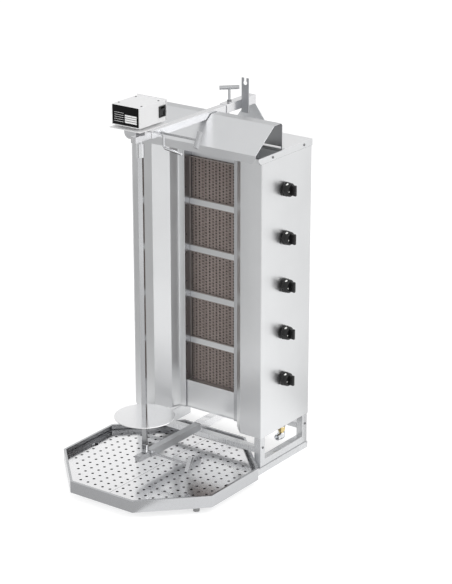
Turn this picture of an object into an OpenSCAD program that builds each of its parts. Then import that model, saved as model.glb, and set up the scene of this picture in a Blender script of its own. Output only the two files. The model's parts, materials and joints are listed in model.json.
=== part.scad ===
// Upright gas grill with a motor driven vertical spit, five burners and a drip tray.
// Millimetres, +Z up, the knobs face +X and the spit stands towards -Y.

/* [Body] */
// Width of the body over its side panels
body_w = 500; // [440:10:600]
// Depth of the body from the wings to the back panel
body_d = 265; // [230:5:320]
// Height of the case below the lowest burner
cover_show = 82; // [70:1:120]
// Height of the panels' lower edge above the floor
leg_h = 122; // [118:1:160]
// Thickness of the stainless sheet
sheet_t = 2; // [1.5:0.5:3]
// Width of the flat face of each wing
wing_w = 80; // [60:5:90]

/* [Base] */
// Height of the floor skids
skid_h = 22; // [16:1:30]
// How far the skids reach in front of the body
skid_nose = 30; // [10:5:50]
// Width of the square tubes of the side frames
frame_w = 25; // [20:1:30]
// Height of the lower rail of a side frame
frame_rail_h = 24; // [18:1:30]
// Height of the two cross rails
cross_h = 18; // [14:1:20]

/* [Burners] */
// Number of burners, valves and knobs
burner_count = 5; // [3:1:5]
// Spacing of the burners and of the knobs
burner_pitch = 156; // [150:1:158]
// Width of the burner opening
burner_w = 192; // [170:2:220]
// Visible height of one burner
burner_h = 137; // [120:1:145]
// Depth of one burner box
burner_box_d = 50; // [40:1:60]
// Depth of the recess from the wings to the burners
recess_d = 105; // [98:1:115]
// Thickness of the ceramic plates
ceramic_t = 13; // [10:1:16]
// Thickness of the screen wires
wire_t = 1.5; // [1:0.25:2.5]

/* [Hood and lid] */
// Height of the lid above the side panels
lid_h = 21; // [18:1:30]
// Height of the hood above the lid
hood_h = 85; // [80:1:95]
// How far the hood reaches in front of the wings
hood_nose = 36; // [20:2:50]
// Height of the hood's front fascia
fascia_h = 26; // [20:1:30]

/* [Arms] */
// Outer width of the fixed square sleeves
sleeve_w = 28; // [27:0.5:32]
// Outer width of the sliding square tubes
tube_w = 23; // [21:0.5:24]
// Width of the square bars at the front of both arms
head_w = 19; // [16:0.5:20]
// Height of the upper arm's axis above the lid
arm_rise = 82; // [76:1:100]
// Distance from the wings to the spit axis
spit_reach = 269.5; // [260:0.5:300]

/* [Spit] */
// Width of the square spit bar
spit_w = 14; // [12:0.5:16]
// Turn of the square bar about its own axis at rest
spit_turn = 19; // [-40:1:40]
// Radius of the meat disc
disc_r = 94; // [60:2:110]
// Height of the meat disc above the floor
disc_z = 231; // [200:1:300]

/* [Motor box] */
// Width of the motor box
box_w = 104; // [96:1:130]
// Depth of the motor box
box_d = 124; // [116:1:150]
// Height of the motor box cover
box_h = 60; // [54:1:70]
// Gap between the upper arm and the heat shield
shield_gap = 29.5; // [24:0.5:34]
// Gap between the heat shield and the motor box
box_gap = 8; // [6:1:18]

/* [Tray] */
// Width of the eight sided drip tray across its flats
tray_w = 586; // [560:2:586]
// Height of the tray's wall
tray_h = 39; // [30:1:42]
// Distance from the wings to the middle of the tray
tray_reach = 195; // [194:1:240]
// Depth of the perforated insert below the rim
insert_drop = 21; // [16:1:24]
// Spacing of the drain holes
drain_pitch = 29; // [27:1:40]
// Diameter of one drain hole
drain_d = 9; // [5:1:10]

/* [Knobs and gas] */
// Diameter of a knob
knob_d = 47; // [38:1:52]
// How far a knob stands out of the side panel
knob_reach = 42; // [38:1:42]
// How far a knob can be pushed in
knob_travel = 4; // [3:0.5:5]
// Distance from the wings to the knobs
knob_y = 120; // [114:1:130]
// Radius of the gas inlet thread
inlet_r = 10.5; // [9:0.5:12]

/* [Hidden] */

$fn = 48;
// One overrun serves every cut
over = 1;
// Clearance of parts that slide in each other
slide_gap = 0.3;
// Clearance of a shaft in its bore
run_gap = 0.1;
// Gap between soft seats and between pieces that only lie together
seat_gap = 0.2;

// Body
hw = body_w / 2;
burner_top_gap = 55;
body_h = burner_top_gap + burner_h + (burner_count - 1) * burner_pitch + cover_show;
body_top = leg_h + body_h;
lid_top = body_top + lid_h - slide_gap;
post_rise = 60;
panel_hole_r = 5.5;

// Plan of one wing, from the side panel to the burner: face, two funnel facets, flange, wall
facet_in_share = 0.53;
facet_back_share = 0.56;
flange_w = 22;
flange_back = 37;
flange_y = recess_d - flange_back;
wall_back = 70;
opening_x = burner_w / 2;
funnel_x = opening_x + flange_w;
facet_x = funnel_x + (hw - wing_w - funnel_x) * (1 - facet_in_share) / 2;
facet_y = flange_y * facet_back_share;

// Burners, counted from the top
burner_z = [for (i = [0:burner_count - 1])
    body_top - burner_top_gap - burner_h / 2 - i * burner_pitch];
divider_h = burner_pitch - burner_h;
box_wall = 1.5;
box_lip = 5;
screen_out = 7;
screen_y = recess_d - screen_out;
screen_columns = 10;
screen_rows = 6;
cover_in = 6;
cover_lap = 13;
cover_y = flange_y + cover_in;
cover_top = burner_z[burner_count - 1] - burner_h / 2 + cover_lap;
knob_lift = 17.5;
stud_high = 68;
stud_low = 28;
stud_in = 7;
stud_y = flange_y + stud_in;

// Screws
screw_r = 4;
screw_head_h = 2.5;
stud_r = 3;
stud_head_h = 1.5;
frame_screw_z = 88;
trim_screw_y = 52;
trim_screw_back = 45;

// Hood profile
hood_t = 1.5;
hood_back_y = recess_d;
hood_fold = 42;
hood_drop = 72;
hood_fold_y = hood_back_y - hood_fold;
hood_flat = 35;
hood_foot = 14;
hood_top = lid_top + hood_h;
fascia_top = hood_top - hood_drop;
lid_front_y = recess_d - sheet_t;
lid_flange_h = 11;
trim_nose = 20;
trim_corner = 15;
fascia_corner = 20;
panel_top = lid_top - sheet_t;

// Arms
arm_z = lid_top + arm_rise;
sleeve_in = 40;
sleeve_tail = 34;
sleeve_front_y = hood_back_y + sleeve_in;
sleeve_back_y = body_d + sleeve_tail;
tube_stop = 41.5;
tube_in = 10;
arm_tube_front = -(spit_reach - tube_stop);
arm_tube_back = sleeve_back_y - tube_in;
head_nose = 33.5;
head_front = -(spit_reach + head_nose);
head_tail = 80;
low_drop = 20.5;
low_z = leg_h - low_drop;
low_tube_stop = 14.5;
low_tube_in = 40;
low_head_nose = 38.5;
low_tube_front = -(spit_reach - low_tube_stop);
low_tube_back = body_d - low_tube_in;
low_head_front = -(spit_reach + low_head_nose);
cross_top = low_z - sleeve_w / 2;
notch_gap = 3;
nut_h = 6;
nut_r = 8;
tee_in = 31;
tee_y = sleeve_front_y + tee_in;
tee_r = 4;
tee_rise = 40;
tee_bar_r = 6.5;
tee_bar_l = 62;
tee_bar_turn = 45;
tip_gap = 0.1;
clamp_r = 3.5;
clamp_back = 79.5;
low_clamp_back = 23.5;
clamp_y = -(spit_reach - clamp_back);
low_clamp_y = -(spit_reach - low_clamp_back);
clamp_reach = 146;
clamp_bar_w = 14;
clamp_bar_l = 50;
clamp_bar_turn = -27;
grip_r = 4;
grip_weld = 1;
grip_back = 14;
grip_y = clamp_y + grip_back;
grip_drop = 50;
grip_bend = 10;
grip_l = 76;
grip_turn = -15;
bracket_foot_w = 136;
bracket_head_w = 34;
bracket_t = 3;
bracket_in = 6;
bracket_tail = 30;
bracket_front = sleeve_front_y + bracket_in;
bracket_back = body_d + bracket_tail;
rest_w = 27;
rest_t = 3;
rest_behind = 45;
rest_y = tee_y + rest_behind;
rest_low = 26;
rest_high = 85;
rest_notch_r = 7;
rest_mouth_w = 9;
rest_notch_drop = 16;

// Spit
shaft_r = 6;
socket_r = 11.5;
socket_h = 42;
socket_gap = 7;
socket_depth = 32;
foot_r = 11;
foot_h = 25;
pin_r = 4;
pin_h = 14;
disc_t = 3;
hub_r = 15;
hub_h = 15;
stop_r = 2.5;
stop_l = 26;
spit_top = arm_z - head_w / 2 - socket_gap - socket_h + socket_depth - over;
foot_gap = 2;
foot_z = low_z + head_w / 2 + foot_gap;

// Motor box
stand_r = 13;
shield_t = 2;
shield_z = arm_z + head_w / 2 + shield_gap;
chassis_z = shield_z + shield_t + box_gap;
chassis_t = 2;
cover_z = chassis_z + chassis_t;
cover_t = 1.5;
box_shift = 5.5;
box_y = -(spit_reach + box_shift);
back_edge = 3;
shield_edge = 6;
shield_back = 4;
standoff_r = 2.5;
standoff_in = 22;
gear_module = 1;
gear_teeth = 45;
pinion_teeth = 15;
gear_gap = 0.3;
gear_t = 8;
gear_rise = 8;
gear_z = cover_z + gear_rise;
bush_r = 10;
gear_centre = gear_module * (gear_teeth + pinion_teeth) / 2 + gear_gap;
pinion_y = -spit_reach + gear_centre;
motor_shaft_r = 2.5;
motor_side = 28;
motor_back = 6.2;
motor_top = 6.5;
motor_lift = 4;
motor_w = box_w - 2 * motor_side;
motor_d = 2 * (box_y + box_d / 2 - motor_back - pinion_y);
motor_z = gear_z + gear_t + motor_lift;
motor_h = cover_z + box_h - cover_t - motor_top - motor_z;
pillar_r = 3;
switch_w = 30;
switch_h = 34;
switch_out = 3;
switch_deep = 20;
switch_in = 4;
switch_y = box_y + box_d / 2 - switch_w / 2 - switch_in;
rocker_w = 18;
rocker_h = 24;
rocker_slot_h = 28;
rocker_deep = 13;
rocker_back = 9;
rocker_front = 15.5;
rocker_dish = 1.5;
rocker_edge = 0.5;
rocker_tip = 9;
rocker_web_h = 8;
rocker_hub_r = 4.5;
rocker_pin_r = 1.5;
rocker_pin_l = 1.2;
cover_screw_in = 22;
cover_screw_side = 10;

// Tray
tray_y = -tray_reach;
apothem = tray_w / 2;
tray_t = 1.5;
rim_w = 8;
rim_t = 2;
insert_t = 2;
insert_gap = 2;
ledge_w = 16;
seam_gap = 1;
drain_edge = 14;
finger_r = 10;
finger_in = 20;
tray_foot_r = 10;
tray_foot_in = 52;
tray_foot_x = apothem - tray_foot_in;
tray_foot_y = -131;
tray_floor = skid_h;
insert_z = tray_floor + tray_h - insert_drop - insert_t;

// Gas parts
manifold_r = 9;
manifold_in = 28;
manifold_back = 35;
manifold_foot = 8;
manifold_cap = 8;
manifold_x = hw - manifold_in;
manifold_y = knob_y + manifold_back;
valve_r = 12;
valve_in = 2;
valve_l = 34;
valve_block = 20;
spindle_r = 3;
spindle_in = 14;
injector_r = 4;
injector_gap = 26;
injector_in = 20;
injector_y = recess_d + burner_box_d + injector_gap;
injector_x = opening_x - injector_in;
pipe_r = 8;
inlet_nut_r = 13;
inlet_nut_h = 14;
inlet_nut_drop = 30;
inlet_nut_z = leg_h - inlet_nut_drop;
elbow_r = 12;
elbow_drop = 48;
elbow_z = leg_h - elbow_drop;
thread_l = 14;

// Knob
knob_clear = 1;
knob_gap = knob_travel + knob_clear;
knob_ring_t = 4;
knob_skirt_h = 12;
knob_ring_w = 1.5;
knob_neck_r = knob_d / 2 - knob_ring_w;
knob_grip_w = 10;
knob_grip_h = 34;
knob_ring_edge = 1;
knob_bore_h = 14;

// The origin is the middle of the footprint, on the floor
back_reach = sleeve_back_y;
front_reach = tray_reach + apothem;
home_y = (front_reach - back_reach) / 2;

// Places children in the row's frame from the body's frame, whose zero is at the wings
module home() translate([0, home_y, 0]) children();

// A box between two corners
module span(low, high) translate(low) cube(high - low);

// A cylinder along +X, +Y or -Y from a point
module rod_x(from, r, l) translate(from) rotate([0, 90, 0]) cylinder(r = r, h = l);
module rod_y(from, r, l) translate(from) rotate([-90, 0, 0]) cylinder(r = r, h = l);

// Offsets an open outline to one side, with mitred corners, and closes it into a bent sheet
function normal_of(a, b) = let (d = (b - a) / norm(b - a)) [-d[1], d[0]];
function mitre(pts, i, t) = let (
    last = len(pts) - 1,
    before = i == 0 ? normal_of(pts[0], pts[1]) : normal_of(pts[i - 1], pts[i]),
    after = i == last ? normal_of(pts[last - 1], pts[last]) : normal_of(pts[i], pts[i + 1]))
    pts[i] + t * (before + after) / (1 + before * after);
function bent_sheet(pts, t) =
    concat(pts, [for (i = [len(pts) - 1:-1:0]) mitre(pts, i, t)]);

// A rectangle with round corners, made of true arcs
module round_rect(w, h, r) {
    square([w - 2 * r, h], center = true);
    square([w, h - 2 * r], center = true);
    for (sx = [-1, 1], sy = [-1, 1])
        translate([sx * (w / 2 - r), sy * (h / 2 - r)]) circle(r);
}

// What rounds off the lower corner of a sheet; inward is 1 where the sheet lies to its right
module corner_cut(corner, r, inward) {
    translate(corner) mirror([inward > 0 ? 0 : 1, 0]) difference() {
        translate([-over, -over]) square(r + over);
        translate([r, r]) circle(r);
    }
}

// A square tube along Y
module square_tube(w, wall, y0, y1, z) {
    difference() {
        span([-w / 2, y0, z - w / 2], [w / 2, y1, z + w / 2]);
        span([-w / 2 + wall, y0 - over, z - w / 2 + wall],
             [w / 2 - wall, y1 + over, z + w / 2 - wall]);
    }
}

// The low part of the machine: frames, skids and rails
module side_frame(side) home() color("silver") mirror([side < 0 ? 1 : 0, 0, 0]) {
    outer = hw - sheet_t;
    union() {
        for (y = [sheet_t, body_d - sheet_t - frame_w])
            span([outer - frame_w, y, skid_h], [outer, y + frame_w, leg_h + post_rise]);
        span([outer - frame_w, sheet_t + frame_w, skid_h],
             [outer, body_d - sheet_t - frame_w, skid_h + frame_rail_h]);
    }
}

module skids() home() color("gainsboro") {
    for (side = [-1, 1]) {
        x = side > 0 ? hw - frame_w : -hw;
        span([x, -skid_nose, 0], [x + frame_w, body_d, skid_h]);
    }
}

module cross_rails() home() color("silver") {
    half = hw - sheet_t - frame_w;
    for (y = [sheet_t, body_d - sheet_t - frame_w])
        span([-half, y, cross_top - cross_h], [half, y + frame_w, cross_top]);
}

// The case
module side_panel(side, holes) home() color("lightgray") mirror([side < 0 ? 1 : 0, 0, 0]) {
    difference() {
        span([hw - sheet_t, 0, leg_h], [hw, body_d - sheet_t, panel_top]);
        if (holes)
            for (z = burner_z)
                rod_x([hw - sheet_t - over, knob_y, z + knob_lift], panel_hole_r,
                      sheet_t + 2 * over);
    }
}

module back_panel() home() color("lightgray")
    span([-hw, body_d - sheet_t, leg_h], [hw, body_d, panel_top]);

module wing(side) home() color("silver") mirror([side < 0 ? 1 : 0, 0, 0]) {
    outline = [[hw - sheet_t, 0], [hw - wing_w, 0], [facet_x, facet_y], [funnel_x, flange_y],
               [opening_x, flange_y], [opening_x, flange_y + wall_back]];
    translate([0, 0, leg_h]) linear_extrude(body_h)
        polygon(bent_sheet(outline, -sheet_t));
}

module lower_cover() home() color("lightgray") {
    outline = [[cover_y, leg_h], [cover_y, cover_top],
               [screen_y - seat_gap, cover_top]];
    half = opening_x - seat_gap;
    translate([-half, 0, 0]) rotate([90, 0, 90]) linear_extrude(2 * half)
        polygon(bent_sheet(outline, -sheet_t));
}

module upper_cover() home() color("lightgray") {
    half = opening_x - seat_gap;
    span([-half, recess_d, burner_z[0] + burner_h / 2 + seat_gap],
         [half, recess_d + sheet_t, panel_top]);
}

module top_lid() home() color("gainsboro") {
    low = body_top - seat_gap;
    wide = hw + sheet_t;
    inside = hw - sheet_t - seat_gap;
    back = body_d + sheet_t;
    union() {
        span([-wide, lid_front_y, lid_top - sheet_t], [wide, back, lid_top]);
        span([-inside, lid_front_y, lid_top - lid_flange_h],
             [inside, lid_front_y + sheet_t, lid_top]);
        span([-wide, body_d, low], [wide, back, lid_top]);
        for (x = [-wide, hw])
            difference() {
                span([x, -trim_nose, low], [x + sheet_t, back, lid_top]);
                translate([x, 0, 0]) rotate([90, 0, 90]) translate([0, 0, -over])
                    linear_extrude(sheet_t + 2 * over)
                        corner_cut([-trim_nose, low], trim_corner, 1);
            }
    }
}

module hood() home() color("gainsboro") {
    outline = [[-hood_nose, fascia_top - fascia_h], [-hood_nose, fascia_top],
               [hood_fold_y, hood_top], [hood_fold_y + hood_flat, hood_top],
               [hood_back_y, hood_top - hood_foot / 2], [hood_back_y, lid_top + hood_t],
               [hood_back_y + hood_foot, lid_top + hood_t]];
    slot = tube_w / 2 + notch_gap;
    difference() {
        translate([-hw, 0, 0]) rotate([90, 0, 90]) linear_extrude(body_w)
            polygon(bent_sheet(outline, -hood_t));
        span([-slot, -hood_nose + over, arm_z - slot],
             [slot, hood_back_y + hood_foot, hood_top + over]);
        for (side = [-1, 1])
            translate([0, hood_t + over - hood_nose, 0]) rotate([90, 0, 0])
                linear_extrude(hood_t + 2 * over)
                    corner_cut([side * hw, fascia_top - fascia_h], fascia_corner, -side);
    }
}

// Burners
module burner_boxes() home() color("darkgray") {
    half = opening_x - seat_gap;
    tall = burner_pitch / 2 - box_lip / 2;
    for (z = burner_z)
        difference() {
            span([-half, recess_d + sheet_t + seat_gap, z - tall],
                 [half, recess_d + burner_box_d, z + tall]);
            span([-half + box_wall, recess_d, z - tall + box_wall],
                 [half - box_wall, recess_d + burner_box_d - box_wall, z + tall - box_wall]);
        }
}

module ceramic_plates() home() color("rosybrown") {
    half = opening_x - seat_gap - box_wall - seat_gap;
    front = recess_d + sheet_t + seat_gap;
    tall = burner_pitch / 2 - box_lip / 2 - box_wall - seat_gap;
    for (z = burner_z)
        span([-half, front, z - tall], [half, front + ceramic_t, z + tall]);
}

// One screen is a flat net of square wires with a wider rim
module screen_outline() {
    w = burner_w - 2 * seat_gap;
    gap_w = (w - wire_t) / screen_columns;
    gap_h = (burner_h - wire_t) / screen_rows;
    difference() {
        square([w, burner_h], center = true);
        for (i = [0:screen_columns - 1], j = [0:screen_rows - 1])
            translate([wire_t - w / 2 + i * gap_w, wire_t - burner_h / 2 + j * gap_h])
                square([gap_w - wire_t, gap_h - wire_t]);
    }
}

module wire_screens() home() color("dimgray")
    for (z = burner_z)
        translate([0, screen_y + wire_t, z]) rotate([90, 0, 0])
            linear_extrude(wire_t) screen_outline();

module divider_bars() home() color("gainsboro") {
    half = opening_x - seat_gap;
    for (i = [0:burner_count - 2]) {
        z = burner_z[i] - burner_h / 2 - divider_h / 2;
        outline = [[recess_d + sheet_t, -divider_h / 2 + seat_gap],
                   [screen_y - sheet_t, -divider_h / 2 + seat_gap],
                   [screen_y - sheet_t, divider_h / 2 - seat_gap],
                   [recess_d + sheet_t, divider_h / 2 - seat_gap]];
        translate([-half, 0, z]) rotate([90, 0, 90]) linear_extrude(2 * half)
            polygon(bent_sheet(outline, -sheet_t));
    }
}

// A low screw head along +X, with a bevelled edge
module screw_head(r, h) {
    bevel = h / 2;
    rotate([0, 90, 0]) {
        cylinder(r = r, h = h - bevel);
        translate([0, 0, h - bevel]) cylinder(r1 = r, r2 = r - bevel, h = bevel, $fn = 48);
    }
}

module case_screws() home() color("gray")
    for (side = [0, 1]) mirror([side, 0, 0]) {
        for (y = [sheet_t + frame_w / 2, body_d - sheet_t - frame_w / 2])
            translate([hw - sheet_t, y, frame_screw_z]) screw_head(screw_r, screw_head_h);
        for (y = [trim_screw_y, body_d - trim_screw_back])
            translate([hw + sheet_t, y, body_top + lid_h / 2])
                screw_head(screw_r, screw_head_h);
        for (z = burner_z, dz = [stud_high, -stud_low])
            translate([opening_x, stud_y, z + dz]) mirror([1, 0, 0])
                screw_head(stud_r, stud_head_h);
    }

// Gas train
module gas_manifold() home() color("goldenrod") {
    low = leg_h + manifold_foot;
    high = burner_z[0] + knob_lift + valve_r + manifold_cap;
    translate([manifold_x, manifold_y, low]) cylinder(r = manifold_r, h = high - low);
}

module gas_valves() home() color("goldenrod") {
    right = hw - sheet_t - valve_in;
    for (z = burner_z)
        translate([0, knob_y, z + knob_lift]) difference() {
            union() {
                rod_x([right - valve_l, 0, 0], valve_r, valve_l);
                span([manifold_x - valve_block / 2, 0, -valve_block / 2],
                     [manifold_x + valve_block / 2, manifold_y - knob_y, valve_block / 2]);
            }
            translate([manifold_x, manifold_y - knob_y, -valve_block])
                cylinder(r = manifold_r + run_gap, h = 2 * valve_block);
            rod_x([right - spindle_in - knob_gap, 0, 0], spindle_r + run_gap / 2,
                  spindle_in + knob_gap + over);
        }
}

module injector_tubes() home() color("tan") {
    start_x = hw - sheet_t - valve_in - injector_r - over;
    for (z = burner_z)
        translate([0, 0, z + knob_lift]) {
            rod_y([start_x, knob_y + valve_r, 0], injector_r,
                  injector_y - knob_y - valve_r);
            translate([start_x, injector_y, 0]) sphere(injector_r);
            rod_x([injector_x, injector_y, 0], injector_r, start_x - injector_x);
            translate([injector_x, injector_y, 0]) sphere(injector_r);
            rod_y([injector_x, recess_d + burner_box_d, 0], injector_r,
                  injector_y - recess_d - burner_box_d);
        }
}

module gas_inlet() home() color("goldenrod")
    translate([manifold_x, manifold_y, 0]) {
        translate([0, 0, elbow_z + elbow_r])
            cylinder(r = pipe_r, h = leg_h + manifold_foot - elbow_z - elbow_r);
        translate([0, 0, inlet_nut_z]) cylinder(r = inlet_nut_r, h = inlet_nut_h, $fn = 6);
    }

module inlet_elbow() home() color("lightgray")
    translate([manifold_x, manifold_y, elbow_z]) {
        sphere(elbow_r);
        cylinder(r = elbow_r, h = elbow_r);
        rod_y([0, -elbow_r, 0], elbow_r, elbow_r);
        rod_y([0, -elbow_r - thread_l, 0], inlet_r, elbow_r + thread_l);
    }

// Upper and lower arms
module arm_sleeve() home() color("gainsboro") {
    wall = (sleeve_w - tube_w) / 2 - slide_gap;
    top = arm_z + sleeve_w / 2;
    difference() {
        union() {
            square_tube(sleeve_w, wall, sleeve_front_y, sleeve_back_y, arm_z);
            translate([0, tee_y, top - wall / 2]) cylinder(r = nut_r, h = nut_h + wall / 2, $fn = 6);
        }
        translate([0, tee_y, arm_z + tube_w / 2]) cylinder(r = tee_r + run_gap, h = sleeve_w);
    }
}

// A sheet bracket with two tapered uprights that carry the sleeve
module arm_bracket() home() color("silver") {
    low = lid_top;
    high = arm_z - sleeve_w / 2;
    upright = [[-bracket_foot_w / 2, low], [bracket_foot_w / 2, low],
               [bracket_head_w / 2, high], [-bracket_head_w / 2, high]];
    union() {
        for (y = [bracket_front, bracket_back - bracket_t])
            translate([0, y + bracket_t, 0]) rotate([90, 0, 0])
                linear_extrude(bracket_t) polygon(upright);
        span([-bracket_foot_w / 2, bracket_front, low],
             [bracket_foot_w / 2, bracket_back, low + bracket_t]);
    }
}

// An upright bar with a round notch, where a spare spit hangs
module spit_rest() home() color("darkgray") {
    top = arm_z + rest_high;
    x = sleeve_w / 2;
    notch_z = top - rest_notch_drop;
    translate([0, rest_y + rest_t, 0]) rotate([90, 0, 0]) linear_extrude(rest_t)
        difference() {
            translate([x, arm_z - rest_low]) square([rest_w, rest_low + rest_high]);
            translate([x + rest_w / 2, notch_z]) circle(rest_notch_r);
            translate([x + rest_w / 2 - rest_mouth_w / 2, notch_z])
                square([rest_mouth_w, rest_notch_drop + over]);
        }
}

module lower_sleeve() home() color("gainsboro")
    square_tube(sleeve_w, (sleeve_w - tube_w) / 2 - slide_gap,
                sheet_t, body_d - sheet_t, low_z);

module tee_screw() home() color("darkgray") {
    low = arm_z + tube_w / 2 + tip_gap;
    bar_z = arm_z + sleeve_w / 2 + nut_h + tee_rise;
    translate([0, tee_y, 0]) {
        translate([0, 0, low]) cylinder(r = tee_r, h = bar_z - low);
        rotate([0, 0, tee_bar_turn]) rod_x([-tee_bar_l / 2, 0, bar_z], tee_bar_r, tee_bar_l);
    }
}

// A round grip rod with one bend, welded to the side of the arm tube
module bent_grip()
    translate([tube_w / 2 + grip_r - grip_weld, grip_y, 0]) rotate([0, 0, grip_turn]) {
    low = arm_z - grip_drop;
    translate([0, 0, low + grip_bend])
        cylinder(r = grip_r, h = arm_z - low - grip_bend);
    translate([grip_bend, 0, low + grip_bend]) rotate([90, 180, 0])
        rotate_extrude(angle = 90) translate([grip_bend, 0]) circle(grip_r, $fn = 32);
    rod_x([grip_bend, 0, low], grip_r, grip_l);
}

// A square tube with a hexagon boss on its side for a clamp screw
module clamped_tube(y0, y1, z, screw_y) {
    wall = (tube_w - head_w) / 2 - slide_gap;
    difference() {
        union() {
            square_tube(tube_w, wall, y0, y1, z);
            rod_hex([tube_w / 2 - wall / 2, screw_y, z], nut_r, nut_h + wall / 2);
        }
        rod_x([head_w / 2, screw_y, z], clamp_r + run_gap, tube_w);
    }
}

module rod_hex(from, r, l) translate(from) rotate([0, 90, 0]) cylinder(r = r, h = l, $fn = 6);

module arm_tube() home() color("whitesmoke") {
    union() {
        clamped_tube(arm_tube_front, arm_tube_back, arm_z, clamp_y);
        bent_grip();
    }
}

// A clamp screw along X with a square cross bar on its end
module clamp_screw(y, z) {
    tip = head_w / 2 + tip_gap;
    translate([0, y, z]) {
        rod_x([tip, 0, 0], clamp_r, clamp_reach - tip);
        translate([clamp_reach + clamp_bar_w / 2, 0, 0]) rotate([clamp_bar_turn, 0, 0])
            translate([0, 0, -clamp_bar_l / 2]) linear_extrude(clamp_bar_l)
                round_rect(clamp_bar_w, clamp_bar_w, clamp_bar_w / 5);
    }
}

module upper_clamp() home() color("lightgray") clamp_screw(clamp_y, arm_z);

module lower_clamp() home() color("lightgray") clamp_screw(low_clamp_y, low_z);

module lower_tube() home() color("silver")
    clamped_tube(low_tube_front, low_tube_back, low_z, low_clamp_y);

// The bar that carries the motor stand, with the bore of the drive shaft
module arm_head() home() color("gainsboro") {
    top = arm_z + head_w / 2;
    back = arm_tube_front + head_tail;
    difference() {
        union() {
            span([-head_w / 2, head_front, arm_z - head_w / 2], [head_w / 2, back, top]);
            translate([0, -spit_reach, top - over])
                cylinder(r = stand_r, h = chassis_z - top + over);
        }
        translate([0, -spit_reach, arm_z - head_w])
            cylinder(r = shaft_r + run_gap, h = chassis_z);
    }
}

module lower_head() home() color("silver") {
    top = low_z + head_w / 2;
    span([-head_w / 2, low_head_front, low_z - head_w / 2],
         [head_w / 2, low_tube_front + head_tail, top]);
    translate([0, -spit_reach, top - over]) cylinder(r = pin_r, h = pin_h + over);
}

// Motor box
module box_plate(edge, back, t) {
    span([-box_w / 2 - edge, box_y - box_d / 2 - edge, 0],
         [box_w / 2 + edge, box_y + box_d / 2 + back, t]);
}

module heat_shield() home() color("gainsboro") translate([0, 0, shield_z]) difference() {
    box_plate(shield_edge, shield_back, shield_t);
    translate([0, -spit_reach, -over]) cylinder(r = stand_r + seat_gap, h = shield_t + 2 * over);
}

module shield_standoffs() home() color("gray")
    for (sx = [-1, 1], sy = [-1, 1])
        translate([sx * (box_w / 2 - standoff_in), box_y + sy * (box_d / 2 - standoff_in),
                   shield_z + shield_t])
            cylinder(r = standoff_r, h = box_gap);

// The floor and the back of the motor box, one bent sheet with the shaft's bush on it
module motor_chassis() home() color("whitesmoke") {
    back = box_y + box_d / 2;
    difference() {
        union() {
            translate([0, 0, chassis_z]) box_plate(0, chassis_t, chassis_t);
            span([-box_w / 2 - back_edge, back, chassis_z],
                 [box_w / 2 + back_edge, back + chassis_t, cover_z + box_h + back_edge]);
            translate([0, -spit_reach, chassis_z]) cylinder(r = bush_r, h = gear_z - chassis_z - over);
        }
        translate([0, -spit_reach, chassis_z - over])
            cylinder(r = shaft_r + run_gap, h = gear_z - chassis_z + over);
    }
}

module motor_cover() home() color("whitesmoke") {
    low = [-box_w / 2, box_y - box_d / 2, cover_z];
    high = [box_w / 2, box_y + box_d / 2, cover_z + box_h];
    wall = [cover_t, cover_t, cover_t];
    centre_z = cover_z + box_h / 2;
    difference() {
        span(low, high);
        span([low[0] + cover_t, low[1] + cover_t, low[2] - over],
             [high[0] - cover_t, high[1] + over, high[2] - cover_t]);
        span([high[0] - 2 * cover_t, switch_y - switch_w / 2 + switch_out,
              centre_z - switch_h / 2 + switch_out],
             [high[0] + over, switch_y + switch_w / 2 - switch_out,
              centre_z + switch_h / 2 - switch_out]);
    }
}

module cover_screws() home() color("gray")
    for (sx = [-1, 1], y = [box_y - box_d / 2 + cover_screw_in, box_y + box_d / 2 - cover_screw_in])
        translate([sx * (box_w / 2 - cover_screw_side), y, cover_z + box_h])
            rotate([0, -90, 0]) screw_head(stud_r, stud_head_h);

module gear_motor() home() color("dimgray") {
    motor_y = pinion_y;
    difference() {
        union() {
            span([-motor_w / 2, motor_y - motor_d / 2, motor_z],
                 [motor_w / 2, motor_y + motor_d / 2, motor_z + motor_h]);
            for (sx = [-1, 1])
                translate([sx * (motor_w / 2 - pillar_r), motor_y + motor_d / 2 - pillar_r,
                           cover_z])
                    cylinder(r = pillar_r, h = motor_z - cover_z + over);
        }
        translate([0, pinion_y, motor_z - over])
            cylinder(r = motor_shaft_r + run_gap, h = motor_h / 2 + over);
    }
}

// A spur gear outline: each tooth is a trapezoid, narrower at its tip
function gear_points(teeth) = let (
    tip_height_share = 0.9,
    root_depth_share = 1.2,
    tip_share = 0.12,
    root_share = 0.34,
    pitch_r = gear_module * teeth / 2,
    tip_r = pitch_r + gear_module * tip_height_share,
    root_r = pitch_r - gear_module * root_depth_share,
    step = 360 / teeth)
    [for (i = [0:teeth - 1], k = [0:3])
        let (r = k == 0 || k == 3 ? root_r : tip_r,
             s = [-root_share, -tip_share, tip_share, root_share][k],
             a = (i + s) * step)
        [r * cos(a), r * sin(a)]];

module motor_pinion() home() color("gold")
    translate([0, pinion_y, gear_z]) {
        rotate([0, 0, 180 / pinion_teeth - 90]) linear_extrude(gear_t)
            polygon(gear_points(pinion_teeth));
        cylinder(r = motor_shaft_r, h = motor_z - gear_z + motor_h / 2 - over);
    }

module switch_housing() home() color("black") {
    right = box_w / 2;
    centre_z = cover_z + box_h / 2;
    translate([0, switch_y, centre_z]) difference() {
        union() {
            span([right, -switch_w / 2, -switch_h / 2],
                 [right + switch_out, switch_w / 2, switch_h / 2]);
            span([right - switch_deep, -switch_w / 2 + switch_out + seat_gap,
                  -switch_h / 2 + switch_out + seat_gap],
                 [right + over, switch_w / 2 - switch_out - seat_gap,
                  switch_h / 2 - switch_out - seat_gap]);
        }
        span([right - switch_deep + cover_t, -rocker_w / 2 - slide_gap, -rocker_slot_h / 2],
             [right + switch_out + over, rocker_w / 2 + slide_gap, rocker_slot_h / 2]);
        rod_y([right - rocker_deep, -switch_w / 2, 0], rocker_pin_r + run_gap, switch_w);
    }
}

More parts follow.
